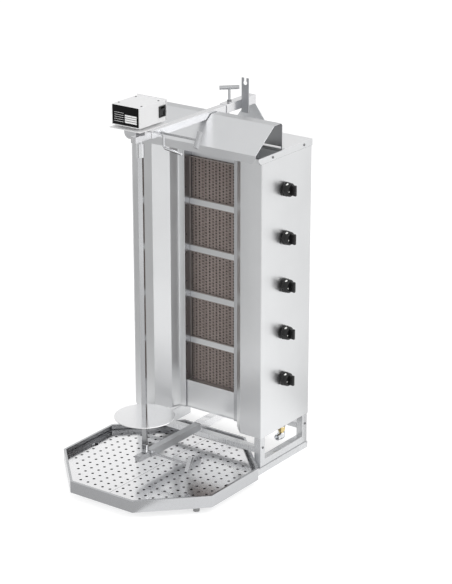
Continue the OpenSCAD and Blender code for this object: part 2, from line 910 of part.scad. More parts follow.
// The rocker has a dished front and is tipped about its hub, whose axis lies along Y
module switch_rocker() home() color("black") {
    half = rocker_h / 2;
    outline = [[rocker_back, -half], [rocker_front, rocker_edge - half],
               [rocker_front - rocker_dish, 0], [rocker_front, half - rocker_edge],
               [rocker_back, half]];
    translate([box_w / 2 - rocker_deep, switch_y, cover_z + box_h / 2]) {
        rotate([90, rocker_tip, 0]) translate([0, 0, -rocker_w / 2])
            linear_extrude(rocker_w) {
                polygon(outline);
                translate([0, -rocker_web_h / 2]) square([rocker_back + over, rocker_web_h]);
                circle(rocker_hub_r);
            }
        rod_y([0, -rocker_w / 2 - slide_gap - rocker_pin_l, 0], rocker_pin_r,
              rocker_w + 2 * slide_gap + 2 * rocker_pin_l);
    }
}

// Spit
module drive_shaft() home() color("gray") {
    socket_z = arm_z - head_w / 2 - socket_gap - socket_h;
    translate([0, -spit_reach, 0]) {
        difference() {
            union() {
                translate([0, 0, socket_z]) cylinder(r = socket_r, h = socket_h);
                translate([0, 0, socket_z + socket_h - over])
                    cylinder(r = shaft_r, h = gear_z + gear_t - socket_z - socket_h + over);
                translate([0, 0, gear_z]) rotate([0, 0, 90])
                    linear_extrude(gear_t) polygon(gear_points(gear_teeth));
            }
            rotate([0, 0, spit_turn]) translate([0, 0, socket_z - over])
                linear_extrude(socket_depth + over)
                    square(spit_w + 2 * seat_gap, center = true);
        }
    }
}

module spit_bar() home() color("lightgray")
    translate([0, -spit_reach, 0]) difference() {
        union() {
            rotate([0, 0, spit_turn]) translate([0, 0, foot_z + foot_h - over])
                linear_extrude(spit_top - foot_z - foot_h + over)
                    square(spit_w, center = true);
            translate([0, 0, foot_z]) cylinder(r = foot_r, h = foot_h);
            rotate([0, 0, spit_turn])
                rod_x([-stop_l / 2, 0, disc_z - hub_h - stop_r], stop_r, stop_l);
        }
        translate([0, 0, foot_z - over])
            cylinder(r = pin_r + run_gap, h = pin_h - foot_gap + over + slide_gap);
    }

module meat_disc() home() color("whitesmoke")
    translate([0, -spit_reach, 0]) difference() {
        union() {
            translate([0, 0, disc_z]) cylinder(r = disc_r, h = disc_t, $fn = 96);
            translate([0, 0, disc_z - hub_h]) cylinder(r = hub_r, h = hub_h + over);
        }
        rotate([0, 0, spit_turn]) translate([0, 0, disc_z - hub_h - over])
            linear_extrude(hub_h + disc_t + 2 * over)
                square(spit_w + 2 * seat_gap, center = true);
    }

// Tray
module octagon(apo) rotate(22.5) circle(apo / cos(22.5), $fn = 8);

module drip_tray() home() color("silver") translate([0, tray_y, tray_floor]) {
    difference() {
        linear_extrude(tray_h) octagon(apothem);
        translate([0, 0, tray_t])
            linear_extrude(insert_z - tray_floor - insert_t - tray_t) octagon(apothem - tray_t);
        translate([0, 0, insert_z - tray_floor - insert_t - over])
            linear_extrude(insert_t + 2 * over) octagon(apothem - rim_w - ledge_w);
        translate([0, 0, insert_z - tray_floor])
            linear_extrude(tray_h - rim_t - insert_z + tray_floor) octagon(apothem - tray_t);
        translate([0, 0, tray_h - rim_t - over])
            linear_extrude(rim_t + 2 * over) octagon(apothem - rim_w);
    }
}

module tray_feet() home() color("dimgray")
    for (side = [-1, 1])
        translate([side * tray_foot_x, tray_y + tray_foot_y, 0])
            cylinder(r = tray_foot_r, h = tray_floor);

// Keeps a drain hole where it lies well inside the insert and clear of the finger hole
function drain_here(x, y, apo) = let (
    lim = apo - drain_edge,
    finger = norm([x - (apo - finger_in), y]))
    x < lim && abs(y) < lim && x + abs(y) < lim * sqrt(2) && finger > finger_r + drain_d;

module insert_half(side) home() color("gainsboro")
    translate([0, tray_y, insert_z]) mirror([side < 0 ? 1 : 0, 0, 0]) linear_extrude(insert_t) {
        apo = apothem - rim_w - insert_gap;
        steps = ceil(apo / drain_pitch);
        difference() {
            intersection() {
                octagon(apo);
                translate([seam_gap / 2, -apothem]) square([apothem, 2 * apothem]);
            }
            translate([apo - finger_in, 0]) circle(finger_r);
            for (i = [0:steps], j = [-steps:steps]) {
                x = (i + 0.5) * drain_pitch;
                y = j * drain_pitch;
                if (drain_here(x, y, apo)) translate([x, y]) circle(drain_d / 2, $fn = 16);
            }
        }
    }

// Knobs and their spindles, counted from the top
module knob(i) home() color("black") {
    base = hw + knob_gap;
    edge = knob_ring_edge;
    grip = knob_reach - knob_gap;
    outline = [[0, 0], [knob_d / 2 - edge, 0], [knob_d / 2, edge],
               [knob_d / 2, knob_ring_t - edge], [knob_d / 2 - edge, knob_ring_t],
               [knob_neck_r, knob_ring_t], [knob_neck_r - edge, knob_skirt_h + knob_ring_t],
               [0, knob_skirt_h + knob_ring_t]];
    translate([base, knob_y, burner_z[i - 1] + knob_lift]) difference() {
        union() {
            rotate([0, 90, 0]) rotate_extrude() polygon(outline);
            rotate([0, 90, 0]) linear_extrude(grip)
                round_rect(knob_grip_h, knob_grip_w, knob_grip_w / 3);
        }
        rod_x([-over, 0, 0], spindle_r, knob_bore_h + over);
    }
}

module valve_spindle(i) home() color("gray") {
    start = hw - sheet_t - valve_in - spindle_in;
    rod_x([start, knob_y, burner_z[i - 1] + knob_lift], spindle_r - run_gap / 2,
          hw + knob_gap + knob_bore_h - start - over);
}

side_frame(-1);  // side_frame_left
side_frame(1);  // side_frame_right
skids();
cross_rails();
side_panel(-1, false);  // side_panel_left
side_panel(1, true);  // side_panel_right
back_panel();
wing(-1);  // wing_left
wing(1);  // wing_right
lower_cover();
upper_cover();
top_lid();
hood();
burner_boxes();
ceramic_plates();
wire_screens();
divider_bars();
case_screws();
gas_manifold();
gas_valves();
injector_tubes();
gas_inlet();
inlet_elbow();
arm_sleeve();
arm_bracket();
spit_rest();
lower_sleeve();
tee_screw();
arm_tube();
upper_clamp();
arm_head();
heat_shield();
shield_standoffs();
motor_chassis();
motor_cover();
cover_screws();
gear_motor();
motor_pinion();
switch_housing();
switch_rocker();
drive_shaft();
spit_bar();
meat_disc();
lower_tube();
lower_clamp();
lower_head();
drip_tray();
tray_feet();
insert_half(-1);  // insert_left
insert_half(1);  // insert_right
for (i = [1:burner_count])
    knob(i);
for (i = [1:burner_count])
    valve_spindle(i);
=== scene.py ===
"""Upright gas grill with a turning spit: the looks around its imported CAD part.

Every length that a class holds is in millimetres; meshes are in metres in the row's frame.
"""
import json
import logging
import math
from collections.abc import Callable, Iterable, Sequence
from dataclasses import dataclass
from enum import Enum

import bmesh
import bpy
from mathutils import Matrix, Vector


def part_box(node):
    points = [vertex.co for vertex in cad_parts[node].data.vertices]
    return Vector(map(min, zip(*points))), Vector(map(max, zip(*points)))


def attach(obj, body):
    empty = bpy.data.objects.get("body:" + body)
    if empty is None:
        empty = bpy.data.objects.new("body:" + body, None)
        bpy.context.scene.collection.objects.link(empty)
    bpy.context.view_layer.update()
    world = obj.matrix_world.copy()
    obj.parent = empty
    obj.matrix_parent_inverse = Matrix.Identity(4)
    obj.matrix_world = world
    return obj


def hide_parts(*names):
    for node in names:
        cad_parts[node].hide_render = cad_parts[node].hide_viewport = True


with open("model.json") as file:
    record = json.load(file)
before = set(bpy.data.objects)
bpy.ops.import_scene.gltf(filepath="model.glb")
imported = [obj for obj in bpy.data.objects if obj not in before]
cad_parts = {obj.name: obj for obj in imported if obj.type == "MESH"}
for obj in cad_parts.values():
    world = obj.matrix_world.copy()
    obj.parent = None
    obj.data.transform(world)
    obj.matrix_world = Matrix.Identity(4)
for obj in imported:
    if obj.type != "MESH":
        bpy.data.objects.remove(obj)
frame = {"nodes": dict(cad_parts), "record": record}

Mesh = bpy.types.Mesh
Node = bpy.types.Node
Piece = bpy.types.Object
Socket = bpy.types.NodeSocket
Tree = bpy.types.NodeTree
Inputs = dict[str | int, object]
Pair = tuple[float, float]
Triple = tuple[float, float, float]

log = logging.getLogger("grill")
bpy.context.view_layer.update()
MM = 0.001
NODE_BODY: dict[str, str] = {
    node: body for body, nodes in frame["record"]["behaviour"]["bodies"].items() for node in nodes
}
# Points nearer to each other than this, in metres, are one point
SAME_POINT = 1e-6
# The CAD's triangles meet less exactly: their corners within this distance are one
CAD_SAME_POINT = 2e-5
# Faces of the CAD mesh that turn by less than this many degrees are one flat face
FLAT_DEGREES = 0.6
# A rounding narrower than this, in millimetres, is the fold of a sheet
SHEET_ROUND = 1.5
# A turned shape has its lobes where its radius is over this share of the widest one
RIM_SHARE = 0.9
# Width of one ring of Blender's wave texture at a scale of 1
WAVE_WIDTH = 0.314
# Corner numbers of a box's faces, for four corners round one side and the four opposite them
BOX_FACES = ((0, 1, 2, 3), (4, 7, 6, 5), (0, 4, 5, 1), (1, 5, 6, 2), (2, 6, 7, 3), (3, 7, 4, 0))


class Axis(Enum):
    """A direction along which a shape is turned, or along which a metal's grain runs."""

    X = 0
    Y = 1
    Z = 2


# ---- Nodes ----


def linear(hex_code: str) -> tuple[float, float, float, float]:
    """Turns an sRGB hex colour into linear RGBA.

    Args:
        hex_code: Six hex digits.

    Returns:
        Linear red, green, blue and an alpha of 1.
    """
    channels = [int(hex_code[i : i + 2], 16) / 255 for i in (0, 2, 4)]
    red, green, blue = (
        c / 12.92 if c <= 0.04045 else ((c + 0.055) / 1.055) ** 2.4 for c in channels
    )
    return red, green, blue, 1.0


def feed(tree: Tree, node: Node, inputs: Inputs) -> None:
    """Gives a node's inputs their values and links.

    Args:
        tree: The node's tree.
        node: The node.
        inputs: For each input, by name or number, a value, a socket to link, or a node that
            stands for its first output.
    """
    for key, value in inputs.items():
        source = value.outputs[0] if isinstance(value, Node) else value
        if isinstance(source, Socket):
            tree.links.new(source, node.inputs[key])
        else:
            node.inputs[key].default_value = source


def put(tree: Tree, kind: str, inputs: Inputs | None = None, **settings: object) -> Node:
    """Adds a node with its settings, values and links.

    Args:
        tree: The tree that gets the node.
        kind: Blender's name of the node type.
        inputs: What its inputs get, as `feed` takes it.
        settings: Attributes of the node.

    Returns:
        The new node.
    """
    node = tree.nodes.new(kind)
    for key, value in settings.items():
        setattr(node, key, value)
    feed(tree, node, inputs or {})
    return node


# ---- Meshes ----


def new_piece(name: str, mesh: Mesh) -> Piece:
    """Links a mesh to the scene as a new object at the origin."""
    piece = bpy.data.objects.new(name, mesh)
    bpy.context.scene.collection.objects.link(piece)
    return piece


def mesh_of(name: str, verts: Iterable[Sequence[float]], faces: Iterable[Sequence[int]]) -> Mesh:
    """Makes a mesh with its doubles merged and its normals pointing outwards.

    Args:
        name: The mesh's name.
        verts: Points in metres.
        faces: Corner numbers of each face.

    Returns:
        The mesh.
    """
    mesh = bpy.data.meshes.new(name)
    mesh.from_pydata([tuple(v) for v in verts], [], [tuple(f) for f in faces])
    work = bmesh.new()
    work.from_mesh(mesh)
    bmesh.ops.remove_doubles(work, verts=work.verts, dist=SAME_POINT)
    bmesh.ops.recalc_face_normals(work, faces=work.faces)
    work.to_mesh(mesh)
    work.free()
    return mesh


def one_mesh(name: str, meshes: Iterable[Mesh]) -> Mesh:
    """Puts several meshes into one.

    Args:
        name: The new mesh's name.
        meshes: The meshes.

    Returns:
        The new mesh.
    """
    work = bmesh.new()
    for mesh in meshes:
        work.from_mesh(mesh)
    whole = bpy.data.meshes.new(name)
    work.to_mesh(whole)
    work.free()
    return whole


def lofted(name: str, rings: Sequence[Sequence[Vector]]) -> Mesh:
    """Skins rings of equal count and closes both ends.

    Args:
        name: The mesh's name.
        rings: Rings of points in metres.

    Returns:
        A closed mesh.
    """
    count = len(rings[0])
    faces: list[list[int]] = []
    for low in range(0, (len(rings) - 1) * count, count):
        high = low + count
        for k in range(count):
            after = (k + 1) % count
            faces.append([low + k, low + after, high + after, high + k])
    faces.append(list(range(count)))
    faces.append([(len(rings) - 1) * count + k for k in range(count)][::-1])
    return mesh_of(name, [point for ring in rings for point in ring], faces)


def folded(name: str, outline: Sequence[Pair], left: float, right: float) -> Mesh:
    """Draws a section, given by its corners (y, z), along X from left to right, in millimetres."""
    return lofted(name, [[Vector((x, y, z)) * MM for y, z in outline] for x in (left, right)])


def turned(
    name: str, profile: Sequence[Pair], origin: Vector, axis: Axis,
    segments: int = 64, lobes: int = 0, lobe_depth: float = 0.0,
) -> Mesh:
    """Turns a profile about an axis, with lobes on its rim where they are asked for.

    Args:
        name: The mesh's name.
        profile: Pairs of radius and height in millimetres, from one end to the other.
        origin: Where height zero lies, in metres.
        axis: The direction of height.
        segments: Faces round the axis.
        lobes: How many low waves the widest rings have.
        lobe_depth: Depth of a wave in millimetres.

    Returns:
        A closed mesh.
    """
    widest = max(radius for radius, _ in profile)
    rings: list[list[Vector]] = []
    for radius, height in profile:
        depth = lobe_depth * max(0.0, radius / widest - RIM_SHARE) / (1 - RIM_SHARE)
        ring: list[Vector] = []
        for k in range(segments):
            angle = 2 * math.pi * k / segments
            across = radius + depth * math.cos(lobes * angle)
            point = [across * math.cos(angle), across * math.sin(angle)]
            point.insert(axis.value, height)
            ring.append(origin + Vector(point) * MM)
        rings.append(ring)
    return lofted(name, rings)


def boxes(name: str, solids: Iterable[Sequence[Vector]]) -> Mesh:
    """Makes a mesh of separate boxes.

    Args:
        name: The mesh's name.
        solids: For each box its corners in metres, in the order of BOX_FACES.

    Returns:
        The mesh.
    """
    verts: list[Vector] = []
    faces: list[list[int]] = []
    for corners in solids:
        faces += [[len(verts) + k for k in face] for face in BOX_FACES]
        verts += corners
    return mesh_of(name, verts, faces)


def rectangle(left: float, low: float, right: float, high: float) -> tuple[Pair, Pair, Pair, Pair]:
    """The corners round a rectangle."""
    return (left, low), (right, low), (right, high), (left, high)


def rounded_outline(width: float, height: float, radius: float) -> list[Pair]:
    """Draws a rectangle with round corners about its middle.

    Args:
        width: Its width in millimetres.
        height: Its height in millimetres.
        radius: Radius of its corners in millimetres.

    Returns:
        The points round it.
    """
    steps = 5
    points: list[Pair] = []
    for cx, cy, start in ((1, 1, 0), (-1, 1, 90), (-1, -1, 180), (1, -1, 270)):
        for k in range(steps + 1):
            angle = math.radians(start + 90 * k / steps)
            points.append((
                cx * (width / 2 - radius) + radius * math.cos(angle),
                cy * (height / 2 - radius) + radius * math.sin(angle),
            ))
    return points


def cad_mesh(node: str) -> Mesh:
    """Copies a CAD node's mesh, with its doubles merged and its flat faces joined.

    Args:
        node: The CAD node's name.

    Returns:
        The copy.
    """
    mesh = frame["nodes"][node].data.copy()
    work = bmesh.new()
    work.from_mesh(mesh)
    bmesh.ops.remove_doubles(work, verts=work.verts, dist=CAD_SAME_POINT)
    bmesh.ops.dissolve_degenerate(work, edges=work.edges, dist=SAME_POINT)
    bmesh.ops.dissolve_limit(
        work, angle_limit=math.radians(FLAT_DEGREES), verts=work.verts, edges=work.edges
    )
    work.to_mesh(mesh)
    work.free()
    mesh.materials.clear()
    return mesh


def loose_parts(node: str) -> list[tuple[Vector, Vector]]:
    """Lowest and highest corners of each separate solid of a CAD node.

    Args:
        node: The CAD node's name.

    Returns:
        One pair of corners for each solid, in metres.
    """
    work = bmesh.new()
    work.from_mesh(frame["nodes"][node].data)
    bmesh.ops.remove_doubles(work, verts=work.verts, dist=SAME_POINT)
    unseen = set(work.verts)
    parts: list[tuple[Vector, Vector]] = []
    while unseen:
        stack = [unseen.pop()]
        found = list(stack)
        while stack:
            for edge in stack.pop().link_edges:
                for vert in edge.verts:
                    if vert in unseen:
                        unseen.remove(vert)
                        stack.append(vert)
                        found.append(vert)
        low = Vector([min(v.co[i] for v in found) for i in range(3)])
        high = Vector([max(v.co[i] for v in found) for i in range(3)])
        parts.append((low, high))
    work.free()
    return sorted(parts, key=lambda p: tuple(round(c, 5) for c in p[0]))


def apply_modifiers(piece: Piece) -> Mesh:
    """Replaces a piece's mesh by its evaluated mesh and takes its modifiers away.

    Args:
        piece: The object.

    Returns:
        Its new mesh.
    """
    bpy.context.view_layer.update()
    graph = bpy.context.evaluated_depsgraph_get()
    mesh = bpy.data.meshes.new_from_object(piece.evaluated_get(graph))
    piece.modifiers.clear()
    piece.data = mesh
    return mesh


def settle(piece: Piece, angle: float = 38) -> None:
    """Applies a piece's modifiers and shades it smooth except at sharp edges.

    Args:
        piece: The object, which keeps no modifier.
        angle: Edges that turn by more than this many degrees stay sharp.
    """
    mesh = apply_modifiers(piece)
    mesh.shade_smooth()
    mesh.set_sharp_from_angle(angle=math.radians(angle))


def round_edges(piece: Piece, width: float, segments: int = 2, angle: float = 30) -> None:
    """Rounds a piece's edges, with the flat faces' normals kept flat, and applies the result.

    Args:
        piece: The object to round.
        width: Width of the rounding in millimetres.
        segments: Faces across one rounding.
        angle: Edges that turn by more than this many degrees are rounded.
    """
    piece.data.shade_smooth()
    bevel = piece.modifiers.new("edges", "BEVEL")
    bevel.width = width * MM
    bevel.segments = segments
    bevel.limit_method = "ANGLE"
    bevel.angle_limit = math.radians(angle)
    bevel.use_clamp_overlap = True
    bevel.miter_outer = "MITER_ARC"
    normals = piece.modifiers.new("normals", "WEIGHTED_NORMAL")
    normals.weight = 100
    apply_modifiers(piece)


# ---- Finishes ----


def clouded(
    tree: Tree, place: Socket, cloud_mm: float, detail: float, shade: str, colour: str
) -> tuple[Node, Socket]:
    """Mixes two colours in soft clouds.

    Args:
        tree: The material's tree.
        place: Object coordinates.
        cloud_mm: Width of a cloud in millimetres.
        detail: How many finer clouds lie in a cloud.
        shade: The darker colour.
        colour: The lighter colour.

    Returns:
        The clouds and the mixed colour.
    """
    cloud = put(
        tree, "ShaderNodeTexNoise", {"Vector": place, "Scale": 1 / (cloud_mm * MM), "Detail": detail},
    )
    tone = put(
        tree, "ShaderNodeMix",
        {"Factor": cloud, "A": linear(shade), "B": linear(colour)}, data_type="RGBA",
    )
    return cloud, tone.outputs["Result"]


@dataclass(frozen=True)
class Finish:
    """What every finish has: a name, and a shader on Object coordinates that is built once."""

    name: str

    def material(self) -> bpy.types.Material:
        """Builds the material when it is first asked for.

        Returns:
            The material.
        """
        made = bpy.data.materials.get(self.name)
        if made is None:
            made = bpy.data.materials.new(self.name)
            made.use_nodes = True
            tree = made.node_tree
            place = put(tree, "ShaderNodeTexCoord").outputs["Object"]
            feed(tree, tree.nodes["Principled BSDF"], self.look(tree, place))
        return made

    def look(self, tree: Tree, place: Socket) -> Inputs:
        """Says what the shader's inputs get."""
        raise NotImplementedError


@dataclass(frozen=True)
class Metal(Finish):
    """A bare metal surface with its grain, polish and slight cloudiness.

    Real brushing is finer than a tenth of a millimetre and wouldn't show, so `grain_mm` draws
    it coarser.
    """

    colour: str
    shade: str
    roughness: float
    spread: float = 0.05
    grain: Axis | None = None
    grain_mm: float = 1.6
    grain_length: float = 45.0
    relief_mm: float = 0.02
    cloud_mm: float = 160.0
    relief: float = 0.35
    cloud_share: float = 0.5
    polish_span: Pair = (0.35, 1.15)

    def look(self, tree: Tree, place: Socket) -> Inputs:
        """Draws the grain and the clouds.

        Args:
            tree: The material's tree.
            place: Object coordinates.

        Returns:
            What the shader's inputs get.
        """
        fine = 1 / (self.grain_mm * MM)
        scale = [fine, fine, fine]
        if self.grain is not None:
            scale[self.grain.value] = fine / self.grain_length
        stretched = put(tree, "ShaderNodeMapping", {"Vector": place, "Scale": scale})
        lines = put(
            tree, "ShaderNodeTexNoise",
            {"Vector": stretched, "Scale": 1.0, "Detail": 3.0, "Roughness": 0.6},
        )
        cloud, tone = clouded(tree, place, self.cloud_mm, 4.0, self.shade, self.colour)
        mixed = put(
            tree, "ShaderNodeMath", {0: cloud, 1: self.cloud_share, 2: lines}, operation="MULTIPLY_ADD",
        )
        polish = put(
            tree, "ShaderNodeMapRange",
            {"Value": mixed, "From Min": self.polish_span[0], "From Max": self.polish_span[1],
             "To Min": self.roughness - self.spread, "To Max": self.roughness + self.spread},
        )
        relief = put(
            tree, "ShaderNodeBump",
            {"Height": lines, "Strength": self.relief, "Distance": self.relief_mm * MM},
        )
        return {"Metallic": 1.0, "Base Color": tone, "Roughness": polish, "Normal": relief}


@dataclass(frozen=True)
class SpunMetal(Finish):
    """Sheet steel with the fine rings that polishing on a lathe leaves, drawn coarser to show."""

    colour: str
    centre_mm: Triple
    ring_mm: float = 3.2
    polish: Pair = (0.15, 0.26)
    relief: float = 0.12
    relief_mm: float = 0.05

    def look(self, tree: Tree, place: Socket) -> Inputs:
        """Draws the rings.

        Args:
            tree: The material's tree.
            place: Object coordinates.

        Returns:
            What the shader's inputs get.
        """
        centred = put(
            tree, "ShaderNodeMapping", {"Vector": place, "Location": [-c * MM for c in self.centre_mm]},
        )
        rings = put(
            tree, "ShaderNodeTexWave",
            {"Vector": centred, "Scale": WAVE_WIDTH / (self.ring_mm * MM), "Distortion": 0.6,
             "Detail": 2.0, "Detail Scale": 4.0},
            wave_type="RINGS", rings_direction="Z",
        ).outputs["Fac"]
        polish = put(
            tree, "ShaderNodeMapRange",
            {"Value": rings, "To Min": self.polish[0], "To Max": self.polish[1]},
        )
        relief = put(
            tree, "ShaderNodeBump",
            {"Height": rings, "Strength": self.relief, "Distance": self.relief_mm * MM},
        )
        return {
            "Metallic": 1.0, "Base Color": linear(self.colour), "Roughness": polish, "Normal": relief,
        }


@dataclass(frozen=True)
class Solid(Finish):
    """Paint or plastic: a coloured surface with the texture of how it was made."""

    colour: str
    shade: str
    roughness: float
    ior: float = 1.5
    texture_mm: float = 1.2
    relief_mm: float = 0.03
    cloud_mm: float = 90.0
    spread: float = 0.05
    relief: float = 0.5
    polish_span: Pair = (0.3, 0.7)

    def look(self, tree: Tree, place: Socket) -> Inputs:
        """Draws the skin's texture and the clouds.

        Args:
            tree: The material's tree.
            place: Object coordinates.

        Returns:
            What the shader's inputs get.
        """
        skin = put(
            tree, "ShaderNodeTexNoise",
            {"Vector": place, "Scale": 1 / (self.texture_mm * MM), "Detail": 2.0},
        )
        cloud, tone = clouded(tree, place, self.cloud_mm, 3.0, self.shade, self.colour)
        polish = put(
            tree, "ShaderNodeMapRange",
            {"Value": cloud, "From Min": self.polish_span[0], "From Max": self.polish_span[1],
             "To Min": self.roughness - self.spread, "To Max": self.roughness + self.spread},
        )
        relief = put(
            tree, "ShaderNodeBump",
            {"Height": skin, "Strength": self.relief, "Distance": self.relief_mm * MM},
        )
        return {"IOR": self.ior, "Base Color": tone, "Roughness": polish, "Normal": relief}


@dataclass(frozen=True)
class PerforatedCeramic(Finish):
    """Fired ceramic with staggered dimples and fine flame holes between them, both painted dark as painted
    shade.
    """

    colour: str
    shade: str
    hole: str
    roughness: float = 0.85
    dimple_pitch_mm: Pair = (26.6, 10.2)
    dimple_r_mm: float = 3.7
    flame_pitch_mm: Pair = (3.4, 2.6)
    flame_r_mm: float = 0.55
    flame_floor: float = 0.55
    soft_edge: Pair = (0.6, 1.35)
    cloud_mm: float = 50 / 3
    relief: float = 0.6
    relief_mm: float = 0.6

    def spots(self, tree: Tree, place: Socket, pitch: Pair, radius: float) -> Node:
        """One outside and zero inside the round spots of a staggered pattern.

        Args:
            tree: The material's tree.
            place: Object coordinates.
            pitch: Spacing across and upright in millimetres.
            radius: Radius of a spot in millimetres.

        Returns:
            The soft-edged pattern.
        """
        near: list[Socket] = []
        for shift in (0.0, 0.5):
            cells = put(
                tree, "ShaderNodeMapping",
                {"Vector": place, "Scale": (1 / (pitch[0] * MM), 0.0, 1 / (pitch[1] * MM)),
                 "Location": (shift, 0.5, shift)},
            )
            cell = put(tree, "ShaderNodeVectorMath", {0: cells}, operation="FRACTION")
            centred = put(
                tree, "ShaderNodeVectorMath", {0: cell, 1: (0.5, 0.5, 0.5)}, operation="SUBTRACT",
            )
            real = put(
                tree, "ShaderNodeVectorMath",
                {0: centred, 1: (pitch[0], 0.0, pitch[1])}, operation="MULTIPLY",
            )
            away = put(tree, "ShaderNodeVectorMath", {0: real}, operation="LENGTH")
            near.append(away.outputs["Value"])
        nearest = put(tree, "ShaderNodeMath", {0: near[0], 1: near[1]}, operation="MINIMUM")
        inner, outer = self.soft_edge
        return put(
            tree, "ShaderNodeMapRange",
            {"Value": nearest, "From Min": radius * inner, "From Max": radius * outer},
            interpolation_type="SMOOTHSTEP",
        )

    def look(self, tree: Tree, place: Socket) -> Inputs:
        """Draws the dimples, the flame holes and the clouds.

        Args:
            tree: The material's tree.
            place: Object coordinates.

        Returns:
            What the shader's inputs get.
        """
        dimples = self.spots(tree, place, self.dimple_pitch_mm, self.dimple_r_mm)
        flames = self.spots(tree, place, self.flame_pitch_mm, self.flame_r_mm)
        eased = put(tree, "ShaderNodeMapRange", {"Value": flames, "To Min": self.flame_floor})
        land = put(tree, "ShaderNodeMath", {0: dimples, 1: eased}, operation="MULTIPLY")
        _, tone = clouded(tree, place, self.cloud_mm, 5.0, self.shade, self.colour)
        # The dimples and flame holes take the dark hole colour as painted shade
        face = put(
            tree, "ShaderNodeMix", {"Factor": land, "A": linear(self.hole), "B": tone}, data_type="RGBA",
        )
        relief = put(
            tree, "ShaderNodeBump",
            {"Height": land, "Strength": self.relief, "Distance": self.relief_mm * MM},
        )
        return {"Base Color": face.outputs["Result"], "Roughness": self.roughness, "Normal": relief}


# Austenitic stainless sheet, brushed upright: soft upright streaks and a wide dull gleam
BRUSHED = Metal("BrushedStainless", "E4E5E6", "DADBDC", 0.32, grain=Axis.Z)
# The same sheet on the hood and the upper cover, brushed across and a little greyer
BRUSHED_ACROSS = Metal("BrushedStainlessAcross", "D6D7D8", "CBCCCE", 0.38, grain=Axis.X)
# The lid's sheet, painted brighter than the hood before it as painted light; the same bright sheet on the
# flue's louvres, and as a painted highlight on the front edges of the side panels and wings
LID_AND_HIGHLIGHT_SHEET = Metal("BrushedLidAndHighlightSheet", "F8F8F9", "F0F1F2", 0.34, grain=Axis.X)
# Flange of the right wing, shaded by the fold before it: a darker strip
FLANGE_SHEET = Metal("ShadedFlangeSheet", "C6C7C9", "B7B8BA", 0.36, grain=Axis.Z)
# Sheet blackened by heat on the burner boxes, whose dark also stands as painted shade in the gap round them;
# the same colour is painted shade under the lid's end flanges and on the grip's underside: nearly black, a
# little brown
HEAT_BLACK_AND_SHADE_SHEET = Metal("HeatBlackenedAndShadedSteel", "4A4745", "353231", 0.5, 0.08, None, 3.0, 1, 0.02, 30)
# The wall beside the burners, dulled by their heat: greyer, with long soft streaks
WALL_SHEET = Metal("HeatDulledStainless", "B8B9BC", "A3A4A7", 0.34, 0.06, Axis.Z, 2.0, 60, 0.02)
# Satin stainless square tube, ground lengthwise along the arms: pale, with long soft gleams
TUBE_ALONG = Metal("SatinTubeAlong", "F6F6F7", "ECECEE", 0.24, 0.05, Axis.Y, 1.2, 60, 0.01)
# The same tube on the base, ground upright: greyer, with a soft gleam
TUBE_UPRIGHT = Metal("SatinTubeUpright", "D8D9DA", "CCCDCF", 0.28, 0.06, Axis.Z, 1.2, 60, 0.015)
# The lower arm's tube, dulled by heat and cleaning: a broad weak gleam
TUBE_LOW = Metal("DulledTubeAlong", "CACBCD", "BCBDBF", 0.38, 0.05, Axis.Y, 1.2, 60, 0.01)
# Polished round bar of the bent grip: a narrow bright line along it
GRIP_STEEL = Metal("PolishedGripBar", "D2D3D5", "C4C5C8", 0.16, 0.04, None, 1.2, 1, 0.006, 40)
# Turned steel of the clamp screws and their bars, greyer than the sheets
TURNED_STEEL = Metal("TurnedClampSteel", "BDBEC0", "ACADAF", 0.26, 0.06, Axis.X, 1.0, 8, 0.01, 40)
# Drawn bright steel bar, polished for the spit: a clear reflection, darker than the sheets
SPIT_STEEL = Metal("DrawnSpitSteel", "C4C5C7", "B8B9BB", 0.15, 0.04, Axis.Z, 1.5, 80, 0.008)
# Plain rolled steel of the screws: darker, with a dry oxide bloom
SCREW_STEEL = Metal("PlainScrewSteel", "8C8C8E", "6E6E70", 0.38, 0.1, None, 1.0, 1, 0.01, 12)
# Heat-dulled steel wire over the burners: brown-grey, hardly glossy
SCREEN_STEEL = Metal("HeatDulledWire", "B2ABA7", "938C88", 0.5, 0.1, None, 1.4, 1, 0.02, 30)
# Turned brass of the gas train: yellow, with fine turning marks
BRASS = Metal("TurnedBrass", "E3D09A", "CDB679", 0.26, 0.07, Axis.Z, 0.8, 3, 0.01, 25)
# Bright chrome plate on the inlet elbow: a sharp mirror with deep darks
CHROME = Metal("ChromePlate", "E4E6E8", "D7D9DC", 0.08, 0.03, None, 3.0, 1, 0.004, 40)
# Machined gear steel with a thin film of grease: a soft wet gleam
GEAR_STEEL = Metal("MachinedGearSteel", "C4C4C6", "AEAEB1", 0.33, 0.08, Axis.Z, 0.7, 4, 0.01, 20)
# Stainless sheet of the tray, rolled finish with soft stains; greyer than the case as painted shade for the
# shadowed floor that it reflects
TRAY_SHEET = Metal("RolledTraySheet", "C6C7C9", "B9BABC", 0.22, 0.05, Axis.Z, 6.0, 4, 0.002, 140)
# The same sheet on the tray's inner walls, darker than its rim as painted shade in the tray's hollow
TRAY_INNER = Metal("TrayInnerSheet", "999A9C", "8D8E90", 0.24, 0.05, Axis.Z, 6.0, 4, 0.002, 140)
# The tray's floor under the insert, painted nearly black as painted shade
TRAY_FLOOR = Solid("ShadedTrayFloor", "2A2725", "191716", 0.45, 1.45, 9.0, 0.05, 40)
# Perforated insert, bright and a little worn by washing
INSERT_SHEET = Metal("WashedInsertSheet", "F6F6F7", "EFEFF0", 0.17, 0.04, Axis.X, 9.0, 12, 0.002, 120)
# Moulded phenolic of the knobs: deep black with a fine satin grain
KNOB_PLASTIC = Solid("MouldedPhenolic", "111112", "0A0A0B", 0.4, 1.45, 0.9, 0.03)
# Filled paint in the knob's marks: clear white on the black
MARK_PAINT = Solid("WhiteMarkPaint", "FAFAF8", "F0F0EC", 0.5, 1.5, 0.8, 0.02)
